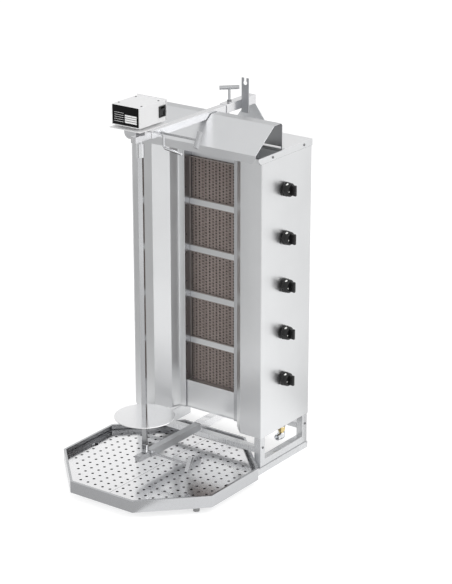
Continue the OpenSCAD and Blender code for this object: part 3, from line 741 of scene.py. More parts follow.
# Glossy moulded nylon of the rocker switch: black with small sharp highlights
SWITCH_NYLON = Solid("GlossyNylon", "0B0B0C", "060607", 0.24, 1.45, 1.5, 0.01)
# Baked powder paint on the motor box: nearly white, with a soft orange peel
BOX_PAINT = Solid("BakedPowderPaint", "ECECEC", "E6E6E7", 0.34, 1.5, 2.6, 0.02)
# Dark sprayed enamel on the gear motor: a dull even sheen
MOTOR_ENAMEL = Solid("DarkMotorEnamel", "2A2B2D", "1C1D1F", 0.42, 1.5, 1.8, 0.04)
# Moulded pale nylon of the tray's feet: light grey with no gloss
FOOT_NYLON = Solid("PaleMouldedNylon", "BDBDBD", "ADADAE", 0.55, 1.5, 1.0, 0.05)
# Plastic film of the plate on the motor box, left without any words: flat black
PLATE_FILM = Solid("BlackPlateFilm", "040405", "020203", 0.55, 1.25, 2.0, 0.01)
# Print on that film: even and nearly white
PLATE_PRINT = Solid("PalePlatePrint", "F6F6F6", "E8E8E8", 0.45, 1.5, 2.0, 0.01)
# Cordierite burner plate, brown-grey, with staggered dimples round its flame holes; the dark in the dimples and
# holes is painted shade
CERAMIC = PerforatedCeramic("PiercedCordierite", "B9A9A4", "A09089", "2C2422")


# ---- Placing pieces ----


def dress(piece: Piece, finish: Finish) -> None:
    """Gives every face of a piece one finish."""
    piece.data.materials.clear()
    piece.data.materials.append(finish.material())


def stand_for(piece: Piece, finish: Finish | None, node: str) -> Piece:
    """Dresses a piece, lets it ride where its CAD node does and hides that node.

    Args:
        piece: The finished piece.
        finish: Its finish, or None where its faces already have theirs.
        node: The CAD node that it stands for.

    Returns:
        The piece.
    """
    if finish is not None:
        dress(piece, finish)
    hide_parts(node)
    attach(piece, NODE_BODY[node])
    log.info("piece %s stands for %s", piece.name, node)
    return piece


def add_to(piece: Piece, finish: Finish, body: str) -> None:
    """Dresses an extra piece that stands for no CAD node and lets it ride on a body.

    Args:
        piece: The finished piece.
        finish: Its finish.
        body: The body that it rides on.
    """
    dress(piece, finish)
    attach(piece, body)
    log.info("piece %s rides on %s", piece.name, body)


def refine(node: str, finish: Finish, width: float, segments: int = 2, angle: float = 30) -> Piece:
    """Makes a copy of a CAD node with rounded edges, which stands for it.

    Args:
        node: The CAD node's name.
        finish: The copy's finish.
        width: Width of the rounding in millimetres.
        segments: Faces across one rounding.
        angle: Edges that turn by more than this many degrees are rounded.

    Returns:
        The new piece.
    """
    piece = new_piece(f"{node}_sheet" if width < SHEET_ROUND else f"{node}_body", cad_mesh(node))
    round_edges(piece, width, segments, angle)
    return stand_for(piece, finish, node)


def part_finish(
    piece: Piece, finish: Finish, test: Callable[[bpy.types.MeshPolygon, Vector], bool]
) -> None:
    """Gives some faces of a piece another finish.

    Args:
        piece: The dressed piece.
        finish: The finish of those faces.
        test: Says for a face and its middle in millimetres whether it belongs to them.
    """
    piece.data.materials.append(finish.material())
    last = len(piece.data.materials) - 1
    for polygon in piece.data.polygons:
        if test(polygon, polygon.center / MM):
            polygon.material_index = last


def paint(node: str, finish: Finish) -> None:
    """Gives a CAD node that stays shown its finish."""
    dress(frame["nodes"][node], finish)
    log.info("node %s keeps its shape", node)


# ---- Geometry Nodes ----


def group(name: str, sizes: dict[str, float]) -> tuple[Tree, Node]:
    """Starts a Geometry Nodes tree with named size inputs.

    Args:
        name: The tree's name.
        sizes: Each input's name and default value.

    Returns:
        The tree and its input node.
    """
    tree = bpy.data.node_groups.new(name, "GeometryNodeTree")
    tree.interface.new_socket("Geometry", in_out="INPUT", socket_type="NodeSocketGeometry")
    for label, value in sizes.items():
        socket = tree.interface.new_socket(label, in_out="INPUT", socket_type="NodeSocketFloat")
        socket.default_value = value
    tree.interface.new_socket("Material", in_out="INPUT", socket_type="NodeSocketMaterial")
    tree.interface.new_socket("Geometry", in_out="OUTPUT", socket_type="NodeSocketGeometry")
    return tree, put(tree, "NodeGroupInput")


def end_group(tree: Tree, given: Node, shape: Node, stance: Inputs | None = None) -> None:
    """Sets a shape on each given point and ends in Realize Instances and Set Material.

    Args:
        tree: The tree.
        given: Its input node.
        shape: The node that makes the shape.
        stance: Turn and scale of the shape on a point, where it has them.
    """
    placed = put(
        tree, "GeometryNodeInstanceOnPoints",
        {"Points": given.outputs["Geometry"], "Instance": shape, **(stance or {})},
    )
    real = put(tree, "GeometryNodeRealizeInstances", {"Geometry": placed})
    dressed = put(
        tree, "GeometryNodeSetMaterial", {"Geometry": real, "Material": given.outputs["Material"]},
    )
    put(tree, "NodeGroupOutput", {0: dressed})


def grow(
    name: str, points: Mesh, tree: Tree, sizes: dict[str, float], finish: Finish, angle: float = 38
) -> Piece:
    """Runs a tree on a mesh of points and keeps the result as a plain mesh.

    Args:
        name: The piece's name.
        points: The mesh that the tree starts from.
        tree: The Geometry Nodes tree.
        sizes: Values for its named inputs.
        finish: The finish of all its faces.
        angle: Edges that turn by more than this many degrees stay sharp.

    Returns:
        The piece, with no modifier left.
    """
    piece = new_piece(name, points)
    modifier = piece.modifiers.new(tree.name, "NODES")
    modifier.node_group = tree
    for item in tree.interface.items_tree:
        if item.item_type == "SOCKET" and item.in_out == "INPUT":
            if item.name in sizes:
                modifier[item.identifier] = float(sizes[item.name])
            elif item.name == "Material":
                modifier[item.identifier] = finish.material()
    settle(piece, angle)
    return piece


def screw_tree() -> Tree:
    """Makes the tree that sets a pan head screw with a cross recess on each point.

    The head is one unit wide from its axis and one unit high. The points' attributes `size`
    and `aim` scale it and turn it.

    Returns:
        The tree.
    """
    tree, given = group(
        "CrossRecessScrew", {"Recess Width": 0.26, "Recess Length": 1.15, "Recess Depth": 0.3},
    )
    half = 0.5
    head = put(tree, "GeometryNodeMeshBoolean", operation="UNION")
    for kind, radii, lift in (
        ("GeometryNodeMeshCylinder", {"Radius": 1.0}, half / 2),
        ("GeometryNodeMeshCone", {"Radius Top": 0.7, "Radius Bottom": 1.0}, half),
    ):
        form = put(tree, kind, {"Vertices": 28, "Depth": half, **radii})
        raised = put(tree, "GeometryNodeTransform", {"Geometry": form, "Translation": (0.0, 0.0, lift)})
        tree.links.new(raised.outputs[0], head.inputs["Mesh 2"])
    cut = put(tree, "GeometryNodeMeshBoolean", {"Mesh 1": head}, operation="DIFFERENCE")
    size = put(
        tree, "ShaderNodeCombineXYZ",
        {"X": given.outputs["Recess Length"], "Y": given.outputs["Recess Width"], "Z": 1.0},
    )
    bar = put(tree, "GeometryNodeMeshCube", {"Size": size})
    middle = put(
        tree, "ShaderNodeMath", {0: 1 + half, 1: given.outputs["Recess Depth"]}, operation="SUBTRACT",
    )
    where = put(tree, "ShaderNodeCombineXYZ", {"Z": middle})
    for turn in (0.0, math.pi / 2):
        arm = put(
            tree, "GeometryNodeTransform",
            {"Geometry": bar, "Translation": where, "Rotation": (0.0, 0.0, turn)},
        )
        tree.links.new(arm.outputs[0], cut.inputs["Mesh 2"])
    aim, scale = (
        put(tree, "GeometryNodeInputNamedAttribute", {"Name": name}, data_type="FLOAT_VECTOR")
        for name in ("aim", "size")
    )
    facing = put(tree, "FunctionNodeAlignRotationToVector", {"Vector": aim}, axis="Z")
    end_group(tree, given, cut, {"Rotation": facing, "Scale": scale})
    return tree


def screws(name: str, tree: Tree, places: Sequence[tuple[Vector, Vector, float, float]]) -> Piece:
    """Sets screws at given places.

    Args:
        name: The piece's name.
        tree: The screw tree.
        places: For each screw its seat, its outward direction, its head's radius and height in metres.

    Returns:
        One piece with all of them.
    """
    mesh = bpy.data.meshes.new(name)
    mesh.from_pydata([tuple(seat) for seat, _, _, _ in places], [], [])
    aim = mesh.attributes.new("aim", "FLOAT_VECTOR", "POINT")
    size = mesh.attributes.new("size", "FLOAT_VECTOR", "POINT")
    for i, (_, outward, radius, height) in enumerate(places):
        aim.data[i].vector = outward
        size.data[i].vector = (radius, radius, height)
    return grow(name, mesh, tree, {}, SCREW_STEEL)


def weave_tree() -> Tree:
    """Makes the tree that weaves an upright wire screen about each point.

    Its wires pass over and under each other, and fold back at the sides to two hoops behind.

    Returns:
        The tree.
    """
    tree, given = group(
        "WovenScreen",
        {"Width": 0.19, "Height": 0.136, "Depth": 0.007, "Columns": 24.0, "Rows": 18.0,
         "Wire Radius": 0.0008, "Crimp": 0.0007},
    )
    size = given.outputs
    sides = {"Width": ("X", "Columns"), "Height": ("Z", "Rows")}
    points_per_mesh = 3.0
    spot = put(tree, "ShaderNodeSeparateXYZ", {0: put(tree, "GeometryNodeInputPosition")})
    pitch: dict[str, Node] = {}
    waves: list[Node] = []
    for side, (axis, count) in sides.items():
        pitch[side] = put(tree, "ShaderNodeMath", {0: size[side], 1: size[count]}, operation="DIVIDE")
        start = put(
            tree, "ShaderNodeMath",
            {0: size[side], 1: 0.5, 2: spot.outputs[axis]}, operation="MULTIPLY_ADD",
        )
        turns = put(tree, "ShaderNodeMath", {0: start, 1: pitch[side]}, operation="DIVIDE")
        angle = put(tree, "ShaderNodeMath", {0: turns, 1: math.pi}, operation="MULTIPLY")
        waves.append(put(tree, "ShaderNodeMath", {0: angle}, operation="COSINE"))
    both = put(tree, "ShaderNodeMath", {0: waves[0], 1: waves[1]}, operation="MULTIPLY")
    joined = put(tree, "GeometryNodeJoinGeometry")
    for along, across, sign in (("Width", "Height", 1.0), ("Height", "Width", -1.0)):
        (axis, count), (other_axis, other_count) = sides[along], sides[across]
        back, front, first = (
            put(tree, "ShaderNodeMath", {0: size[side], 1: share}, operation="MULTIPLY")
            for side, share in ((along, -0.5), (along, 0.5), (across, -0.5))
        )
        ends = [put(tree, "ShaderNodeCombineXYZ", {axis: end}) for end in (back, front)]
        wire = put(tree, "GeometryNodeCurvePrimitiveLine", {"Start": ends[0], "End": ends[1]})
        knots = put(
            tree, "ShaderNodeMath",
            {0: size[count], 1: points_per_mesh, 2: 1.0}, operation="MULTIPLY_ADD",
        )
        fine = put(tree, "GeometryNodeResampleCurve", {"Curve": wire, "Count": knots})
        begin = put(tree, "ShaderNodeCombineXYZ", {other_axis: first})
        step = put(tree, "ShaderNodeCombineXYZ", {other_axis: pitch[across]})
        many = put(tree, "ShaderNodeMath", {0: size[other_count], 1: 1.0}, operation="ADD")
        row = put(tree, "GeometryNodeMeshLine", {"Count": many, "Start Location": begin, "Offset": step})
        copies = put(tree, "GeometryNodeInstanceOnPoints", {"Points": row, "Instance": fine})
        real = put(tree, "GeometryNodeRealizeInstances", {"Geometry": copies})
        signed = put(tree, "ShaderNodeMath", {0: size["Crimp"], 1: sign}, operation="MULTIPLY")
        bend = put(tree, "ShaderNodeMath", {0: both, 1: signed}, operation="MULTIPLY")
        push = put(tree, "ShaderNodeCombineXYZ", {"Y": bend})
        bent = put(tree, "GeometryNodeSetPosition", {"Geometry": real, "Offset": push})
        tree.links.new(bent.outputs[0], joined.inputs[0])
        for end, edge in zip((back, front), ends):
            fold = put(tree, "ShaderNodeCombineXYZ", {axis: end, "Y": size["Depth"]})
            leg = put(tree, "GeometryNodeCurvePrimitiveLine", {"Start": edge, "End": fold})
            legs = put(tree, "GeometryNodeInstanceOnPoints", {"Points": row, "Instance": leg})
            tree.links.new(legs.outputs[0], joined.inputs[0])
    for share in (0.5, 1.0):
        hoop = put(
            tree, "GeometryNodeCurvePrimitiveQuadrilateral",
            {"Width": size["Width"], "Height": size["Height"]},
        )
        deep = put(tree, "ShaderNodeMath", {0: size["Depth"], 1: share}, operation="MULTIPLY")
        where = put(tree, "ShaderNodeCombineXYZ", {"Y": deep})
        stood = put(
            tree, "GeometryNodeTransform",
            {"Geometry": hoop, "Translation": where, "Rotation": (math.pi / 2, 0.0, 0.0)},
        )
        tree.links.new(stood.outputs[0], joined.inputs[0])
    whole = put(tree, "GeometryNodeRealizeInstances", {"Geometry": joined})
    section = put(
        tree, "GeometryNodeCurvePrimitiveCircle", {"Resolution": 5, "Radius": size["Wire Radius"]},
    )
    net = put(
        tree, "GeometryNodeCurveToMesh", {"Curve": whole, "Profile Curve": section, "Fill Caps": True},
    )
    end_group(tree, given, net)
    return tree


# ---- Sub-assemblies ----


@dataclass
class BaseFrame:
    """Skids, side frames and cross rails that carry the case."""

    tube_round: float = 2.2
    skid_round: float = 1.2

    def build(self) -> None:
        """Rounds and dresses the tubes and the skids."""
        for node in ("side_frame_left", "side_frame_right", "cross_rails"):
            refine(node, TUBE_UPRIGHT, self.tube_round, 3)
        refine("skids", TUBE_UPRIGHT, self.skid_round)


@dataclass
class CaseShell:
    """The folded sheets of the case, with the screws that hold them.

    The slot and the cap are sections (y, z). A lean is how far a face's normal has to point
    forwards, sideways or down for the face to count.
    """

    fold_round: float = 1.4
    fold_angle: float = 12.0
    edge_round: float = 0.6
    cap_round: float = 0.3
    screen_wall_x: float = 98.5
    screen_wall_y: float = 167.0
    flange_x: float = 119.0
    edge_x: float = 246.5
    outer_screw_x: float = 150.0
    front_lean: float = 0.2
    side_lean: float = 0.7
    under_lean: float = 0.3
    flange_lean: float = 0.5
    flue: tuple[Triple, Triple] = ((-242.0, 120.5, 1031.5), (242.0, 191.5, 1031.5))
    louvre_count: int = 7
    louvre_w: float = 14.5
    louvre_t: float = 1.0
    louvre_tilt: float = 40.0
    slot: tuple[Pair, ...] = ((194.0, 1044.2), (205.0, 1044.2), (205.0, 1050.4), (194.0, 1050.4))
    slot_end: float = 246.0
    cap: tuple[Pair, ...] = (
        (121.0, 1020.3), (121.0, 1021.8), (94.2, 1021.8), (94.2, 1034.0), (92.7, 1034.0), (92.7, 1020.3),
    )
    cap_from: float = 168.0
    cap_to: float = 249.5

    def build(self, screw: Tree) -> None:
        """Rounds and dresses the sheets and sets the screws.

        Args:
            screw: The screw tree.
        """
        refine("back_panel", BRUSHED, self.edge_round)
        for node in ("side_panel_left", "side_panel_right"):
            panel = refine(node, BRUSHED, self.edge_round)
            # The front edge faces take the bright lid sheet as a painted highlight
            part_finish(panel, LID_AND_HIGHLIGHT_SHEET, lambda face, middle: face.normal.y < -self.front_lean)
        for node in ("wing_left", "wing_right"):
            self.wing(node)
        refine("lower_cover", BRUSHED, self.edge_round)
        refine("upper_cover", BRUSHED_ACROSS, self.edge_round)
        self.lid()
        self.hood()
        self.wing_caps()
        self.louvres()
        self.screws(screw)

    def wing(self, node: str) -> None:
        """Folds a wing with a heat-dulled inner wall, painted shade on its flange and a painted highlight on
        its front edge.

        Args:
            node: The wing's CAD node.
        """
        piece = refine(node, BRUSHED, self.fold_round, 3, self.fold_angle)
        part_finish(
            piece, WALL_SHEET,
            lambda face, middle: abs(middle.x) < self.screen_wall_x and middle.y > self.screen_wall_y,
        )
        # Painted shade on the flange, as if cast by the fold before it
        part_finish(
            piece, FLANGE_SHEET,
            lambda face, middle: 0 < middle.x < self.flange_x and face.normal.y < -self.flange_lean,
        )
        # A painted highlight on the wing's front edge
        part_finish(
            piece, LID_AND_HIGHLIGHT_SHEET,
            lambda face, middle: abs(middle.x) > self.edge_x and face.normal.y < -self.front_lean,
        )

    def lid(self) -> None:
        """Dresses the lid: painted light on top, the plain brushed sheet at its end flanges, painted shade
        under them.
        """
        # The lid's brighter sheet is painted light
        lid = refine("top_lid", LID_AND_HIGHLIGHT_SHEET, self.edge_round)
        part_finish(
            lid, BRUSHED,
            lambda face, middle: abs(face.normal.x) > self.side_lean and abs(middle.x) > self.cap_to,
        )
        # Painted shade on the faces under the end flanges
        part_finish(
            lid, HEAT_BLACK_AND_SHADE_SHEET,
            lambda face, middle: face.normal.z < -self.under_lean and abs(middle.x) > self.cap_to,
        )

    def hood(self) -> None:
        """Rounds the hood's folds and opens the air slot above its foot."""
        piece = new_piece("hood_sheet", cad_mesh("hood"))
        cutter = new_piece("hood_slot", folded("hood_slot", self.slot, -self.slot_end, self.slot_end))
        cut = piece.modifiers.new("slot", "BOOLEAN")
        cut.operation = "DIFFERENCE"
        cut.solver = "EXACT"
        cut.object = cutter
        apply_modifiers(piece)
        bpy.data.objects.remove(cutter)
        round_edges(piece, self.edge_round, 2, self.fold_angle)
        stand_for(piece, BRUSHED_ACROSS, "hood")

    def wing_caps(self) -> None:
        """Closes the top of both wings in front of the flue with an angle sheet."""
        for name, ends in (("wing_cap_left", (-self.cap_to, -self.cap_from)),
                           ("wing_cap_right", (self.cap_from, self.cap_to))):
            piece = new_piece(name, folded(name, self.cap, *ends))
            round_edges(piece, self.cap_round)
            add_to(piece, BRUSHED, "root")

    def louvres(self) -> None:
        """Sets tilted slats in the flue opening under the hood."""
        (left, front, top), (right, back, _) = self.flue
        pitch = (back - front) / self.louvre_count
        tilt = math.radians(self.louvre_tilt)
        half = Vector((0, math.cos(tilt), math.sin(tilt))) * self.louvre_w / 2
        thick = Vector((0, -math.sin(tilt), math.cos(tilt))) * self.louvre_t / 2
        section = (-half - thick, half - thick, half + thick, -half + thick)
        slats = [
            [(Vector((x, front + pitch * (k + 0.5), top)) + corner) * MM
             for x in (left, right) for corner in section]
            for k in range(self.louvre_count)
        ]
        piece = new_piece("flue_louvres", boxes("flue_louvres", slats))
        settle(piece)
        add_to(piece, LID_AND_HIGHLIGHT_SHEET, "root")

    def screws(self, tree: Tree) -> None:
        """Sets a cross recess screw wherever the CAD part has a head.

        Args:
            tree: The screw tree.
        """
        places: list[tuple[Vector, Vector, float, float]] = []
        for low, high in loose_parts("case_screws"):
            seat = (low + high) / 2
            outer = abs(seat.x) > self.outer_screw_x * MM
            outward = math.copysign(1, seat.x) * (1 if outer else -1)
            seat.x = low.x if outward > 0 else high.x
            places.append((seat, Vector((outward, 0, 0)), (high.z - low.z) / 2, high.x - low.x))
        stand_for(screws("case_cross_screws", tree, places), SCREW_STEEL, "case_screws")


@dataclass
class BurnerBank:
    """Five radiant burners: boxes, pierced ceramic, woven screens and divider bars."""

    wire: float = 1.3
    crimp: float = 0.42
    columns: int = 24
    rows: int = 18
    frame_w: float = 3.0
    frame_round: float = 0.35
    frame_proud: float = 0.6
    net_sharp: float = 60.0
    fold: float = 6.5
    bar_round: float = 0.7
    tile_groove: float = 1.0
    tile_round: float = 0.6
    tiles: int = 4

    def build(self) -> None:
        """Builds and dresses the bank."""
        # The boxes' heat-blackened dark also stands as painted shade in the gap round the ceramic
        paint("burner_boxes", HEAT_BLACK_AND_SHADE_SHEET)
        refine("divider_bars", BRUSHED, self.bar_round)
        self.plates()
        self.screens()

    def plates(self) -> None:
        """Sets rows of separate ceramic tiles with a narrow joint between them."""
        groove = self.tile_groove * MM / 2
        tiles: list[list[Vector]] = []
        for low, high in loose_parts("ceramic_plates"):
            width = (high.x - low.x) / self.tiles
            for i in range(self.tiles):
                left, right = low.x + i * width + groove, low.x + (i + 1) * width - groove
                face = rectangle(left, low.z, right, high.z)
                tiles.append([Vector((x, y, z)) for y in (low.y, high.y) for x, z in face])
        piece = new_piece("ceramic_tiles", boxes("ceramic_tiles", tiles))
        round_edges(piece, self.tile_round)
        stand_for(piece, CERAMIC, "ceramic_plates")

    def screens(self) -> None:
        """Weaves the wire screens and puts a flat rim round each."""
        parts = loose_parts("wire_screens")
        low, high = parts[0]
        points = bpy.data.meshes.new("screen_places")
        points.from_pydata([tuple((a + b) / 2) for a, b in parts], [], [])
        rim = self.frame_w * MM
        sizes = {
            "Width": high.x - low.x - rim, "Height": high.z - low.z - rim,
            "Depth": self.fold * MM, "Columns": self.columns, "Rows": self.rows,
            "Wire Radius": self.wire * MM / 2, "Crimp": self.wire * MM * self.crimp,
        }
        net = grow("woven_screens", points, weave_tree(), sizes, SCREEN_STEEL, self.net_sharp)
        stand_for(net, None, "wire_screens")
        self.rims(parts)

    def rims(self, parts: Sequence[tuple[Vector, Vector]]) -> None:
        """Puts a flat rim round each screen.

        Args:
            parts: Lowest and highest corners of the screens, in metres.
        """
        verts: list[Vector] = []
        faces: list[list[int]] = []
        for low, high in parts:
            start = len(verts)
            for y in (low.y - self.frame_proud * MM, high.y):
                for inset in (0.0, self.frame_w * MM):
                    ring = rectangle(low.x + inset, low.z + inset, high.x - inset, high.z - inset)
                    verts += [Vector((x, y, z)) for x, z in ring]
            for k in range(4):
                n = (k + 1) % 4
                for quad in ((k, n, 4 + n, 4 + k), (8 + k, 12 + k, 12 + n, 8 + n),
                             (k, 8 + k, 8 + n, n), (4 + k, 4 + n, 12 + n, 12 + k)):
                    faces.append([start + q for q in quad])
        piece = new_piece("screen_rims", mesh_of("screen_rims", verts, faces))
        round_edges(piece, self.frame_round)
        add_to(piece, SCREEN_STEEL, "root")


@dataclass
class GasTrain:
    """Manifold, valves, injector tubes and the threaded inlet.

    The washer is a profile (radius, height). The nut's corners reach beyond `nut_share` of
    the farthest point from the inlet's axis.
    """

    valve_round: float = 0.8
    valve_count: int = 5
    pipe_round: float = 0.96
    pipe_angle: float = 40.0
    nut_share: float = 0.97
    washer: tuple[Pair, ...] = ((8.2, 0), (12.4, 0), (12.8, 0.5), (12.4, 1.2), (8.2, 1.2))
    thread_pitch: float = 1.8
    thread_depth: float = 0.9
    thread_l: float = 12.8
    thread_in: float = 1.5
    elbow_r: float = 12.0
    bore_r: float = 7.0
    bore_l: float = 6.0
    segments: int = 40
    sharp: float = 35.0

    def build(self) -> None:
        """Builds and dresses the gas train."""
        for node in ("gas_manifold", "injector_tubes"):
            paint(node, BRASS)
        refine("gas_valves", BRASS, self.valve_round)
        self.nut_and_pipe()
        self.elbow()
        for i in range(1, self.valve_count + 1):
            paint(f"valve_spindle_{i}", GEAR_STEEL)

    def nut_and_pipe(self) -> None:
        """Rounds the pipe with its hexagon nut and lays a washer on the nut."""
        low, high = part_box("gas_inlet")
        axis = (low + high) / 2
        mesh = cad_mesh("gas_inlet")
        spots = [(vert.co.z, (vert.co - axis).to_2d().length) for vert in mesh.vertices]
        reach = max(away for _, away in spots) * self.nut_share
        nut_top = round(max(z for z, away in spots if away > reach), 5)
        piece = new_piece("inlet_pipe_and_nut", mesh)
        round_edges(piece, self.pipe_round, 2, self.pipe_angle)
        stand_for(piece, BRASS, "gas_inlet")
        foot = Vector((axis.x, axis.y, nut_top))
        washer = new_piece("nut_washer", turned("nut_washer", self.washer, foot, Axis.Z, self.segments))
        settle(washer)
        add_to(washer, CHROME, "root")

    def elbow(self) -> None:
        """Turns the chrome elbow with a collar and a ridged thread."""
        low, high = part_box("inlet_elbow")
        r = self.elbow_r
        centre = Vector(((low.x + high.x) / 2, high.y - r * MM, low.z + r * MM))
        ball: list[Pair] = [
            (r * math.cos(math.radians(a)), r * math.sin(math.radians(a))) for a in range(-80, 81, 10)
        ]
        pole = 0.6
        ball = [(pole, -r), *ball, (pole, r)]
        neck = [(r - 0.5, 0), (r, 0.6), (r, r - 1.2), (r - 1.2, r)]
        thread: list[Pair] = [(r - 0.6, 0), (r, 0.8), (r, r - 0.8), (r - 0.8, r)]
        crest = (high.x - low.x) / MM / 2 - self.thread_in
        root = crest - self.thread_depth
        for i in range(int(self.thread_l / self.thread_pitch)):
            base = r + 0.4 + i * self.thread_pitch
            thread += [
                (root, base), (crest, base + self.thread_pitch * 0.4), (crest, base + self.thread_pitch * 0.6),
            ]
        end = (centre.y - low.y) / MM
        floor = end - self.bore_l
        thread += [
            (root, end - 0.8), (crest - 1.6, end), (self.bore_r, end), (self.bore_r - 0.2, floor), (0.5, floor),
        ]
        # The thread runs forwards, against the axis
        thread = [(radius, -height) for radius, height in thread]
        whole = one_mesh("threaded_elbow", [
            turned("ball", ball, centre, Axis.Z, self.segments),
            turned("neck", neck, centre, Axis.Z, self.segments),
            turned("thread", thread, centre, Axis.Y, self.segments),
        ])
        piece = new_piece("threaded_elbow", whole)
        settle(piece, self.sharp)
        stand_for(piece, CHROME, "inlet_elbow")


@dataclass
class KnobRow:
    """Five control knobs with a lobed skirt, a waisted grip and filled marks.

    The skirt is a list of distances from the rim's radius and heights. The grip's sections
    have a height, then what they add to its width and length; those of its top are measured
    back from the knob's end. The wedge has heights and angles round the skirt.
    """

    count: int = 5
    segments: int = 96
    sharp: float = 42.0
    lobes: int = 8
    lobe_depth: float = 0.7
    face_x: float = 21.0
    skirt: tuple[Pair, ...] = (
        (-1.2, 0), (0, 0.6), (0, 3.2), (-0.6, 4.0), (-0.9, 5.0), (-1.0, 8.6), (-1.3, 16.4), (-3.2, 19.8),
    )
    face_in: float = 4.2
    hub_r: float = 0.4
    grip_w: float = 10.0
    grip_h: float = 34.0
    grip_corner: float = 3.4
    corner_share: float = 0.34
    grip_foot: tuple[Triple, ...] = (
        (3.0, 0.5, 0.4), (8.0, 0.2, 0.0), (18.0, -0.9, -0.5), (26.0, -1.5, -1.2),
    )
    grip_top: tuple[Triple, ...] = (
        (5.0, -0.9, -0.4), (2.2, -0.7, -0.1), (0.7, -1.6, -0.9), (0.0, -4.2, -3.4),
    )
    dot_r: float = 2.1
    dot_side: float = 15.0
    dot_drop: float = 1.8
    wedge_turn: float = 26.0
    wedge: tuple[tuple[float, tuple[float, ...]], ...] = (
        (7.6, (14, 7, 0, -7, -14)), (14.2, (-7, 0, 7)),
    )
    mark_wall: float = 1.0
    mark_deep: float = 1.6
    mark_proud: float = 0.25

    def build(self) -> None:
        """Builds every knob in its place."""
        for i in range(1, self.count + 1):
            self.knob(i)

    def knob(self, number: int) -> None:
        """Builds one knob.

        Args:
            number: Which knob, counted from the top.
        """
        node = f"knob_{number}"
        low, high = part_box(node)
        hub = Vector((low.x, (low.y + high.y) / 2, (low.z + high.z) / 2))
        radius = (high.z - low.z) / MM / 2 - self.lobe_depth
        reach = (high.x - low.x) / MM
        profile = [(radius + out, height) for out, height in self.skirt]
        profile += [(radius - self.face_in, self.face_x), (self.hub_r, self.face_x)]
        skirt = turned("skirt", profile, hub, Axis.X, self.segments, self.lobes, self.lobe_depth)
        sections = [*self.grip_foot, *((reach - back, *more) for back, *more in self.grip_top)]
        rings: list[list[Vector]] = []
        for x, wider, longer in sections:
            width, height = self.grip_w + wider, self.grip_h + longer
            outline = rounded_outline(width, height, min(self.grip_corner, width * self.corner_share))
            rings.append([hub + Vector((x, y, z)) * MM for y, z in outline])
        name = f"control_knob_{number}"
        piece = new_piece(name, one_mesh(name, [skirt, lofted("grip", rings)]))
        settle(piece, self.sharp)
        stand_for(piece, KNOB_PLASTIC, node)
        self.marks(number, hub, radius - self.mark_wall)

    def marks(self, number: int, hub: Vector, wall: float) -> None:
        """Fills the pointer wedge round the skirt and the dot beside the grip.

        Args:
            number: Which knob.
            hub: The middle of its foot, in metres.
            wall: Radius of the skirt where the wedge lies, in millimetres.
        """
        wedge = [(x, math.radians(self.wedge_turn + a)) for x, angles in self.wedge for a in angles]
        dot = [
            (self.dot_r * math.cos(math.radians(a)) - self.dot_side,
             self.dot_r * math.sin(math.radians(a)) - self.dot_drop)
            for a in range(0, 360, 24)
        ]
        both = (
            [[Vector((x, -(wall + out) * math.sin(a), (wall + out) * math.cos(a))) for x, a in wedge]
             for out in (-self.mark_deep, self.mark_proud)],
            [[Vector((self.face_x + out, y, z)) for y, z in dot]
             for out in (-self.mark_deep, self.mark_proud)],
        )
        meshes = [
            lofted("knob_mark", [[hub + point * MM for point in ring] for ring in rings]) for rings in both
        ]
        piece = new_piece(f"knob_marks_{number}", one_mesh("knob_marks", meshes))
        settle(piece)
        add_to(piece, MARK_PAINT, f"knob_{number}")


@dataclass
class UpperArm:
    """Fixed sleeve with its bracket, the sliding tube and the clamp screws.

    Faces of the grip that point towards `grip_shade` get painted shade on its underside.
    """

    sleeve_round: float = 1.6
    tube_round: float = 2.0
    sheet_round: float = 0.7
    bar_round: float = 3.2
    sleeve_top: float = 1137.2
    head_top: float = 1132.8
    tube_low: float = 1111.0
    tube_side: float = 11.7
    grip_shade: Triple = (-0.35, 0.0, -1.0)
    shade_share: float = 0.15

    def build(self) -> None:
        """Rounds and dresses the arm's pieces."""
        sleeve = refine("arm_sleeve", TUBE_ALONG, self.sleeve_round, 3)
        part_finish(sleeve, SCREW_STEEL, lambda face, middle: middle.z > self.sleeve_top)
        refine("arm_bracket", BRUSHED, self.sheet_round)
        refine("spit_rest", WALL_SHEET, self.sheet_round)
        tube = refine("arm_tube", TUBE_ALONG, self.tube_round, 3)
        part_finish(
            tube, GRIP_STEEL, lambda face, middle: middle.z < self.tube_low or middle.x > self.tube_side,
        )
        down = Vector(self.grip_shade).normalized()
        # Painted shade on the grip's underside
        part_finish(
            tube, HEAT_BLACK_AND_SHADE_SHEET,
            lambda face, middle: middle.z < self.tube_low and face.normal.dot(down) > self.shade_share,
        )
        head = refine("arm_head", TUBE_ALONG, self.bar_round, 4)
        part_finish(head, SCREW_STEEL, lambda face, middle: middle.z > self.head_top)
        for node in ("upper_clamp", "tee_screw"):
            refine(node, TURNED_STEEL, self.sleeve_round, 3)


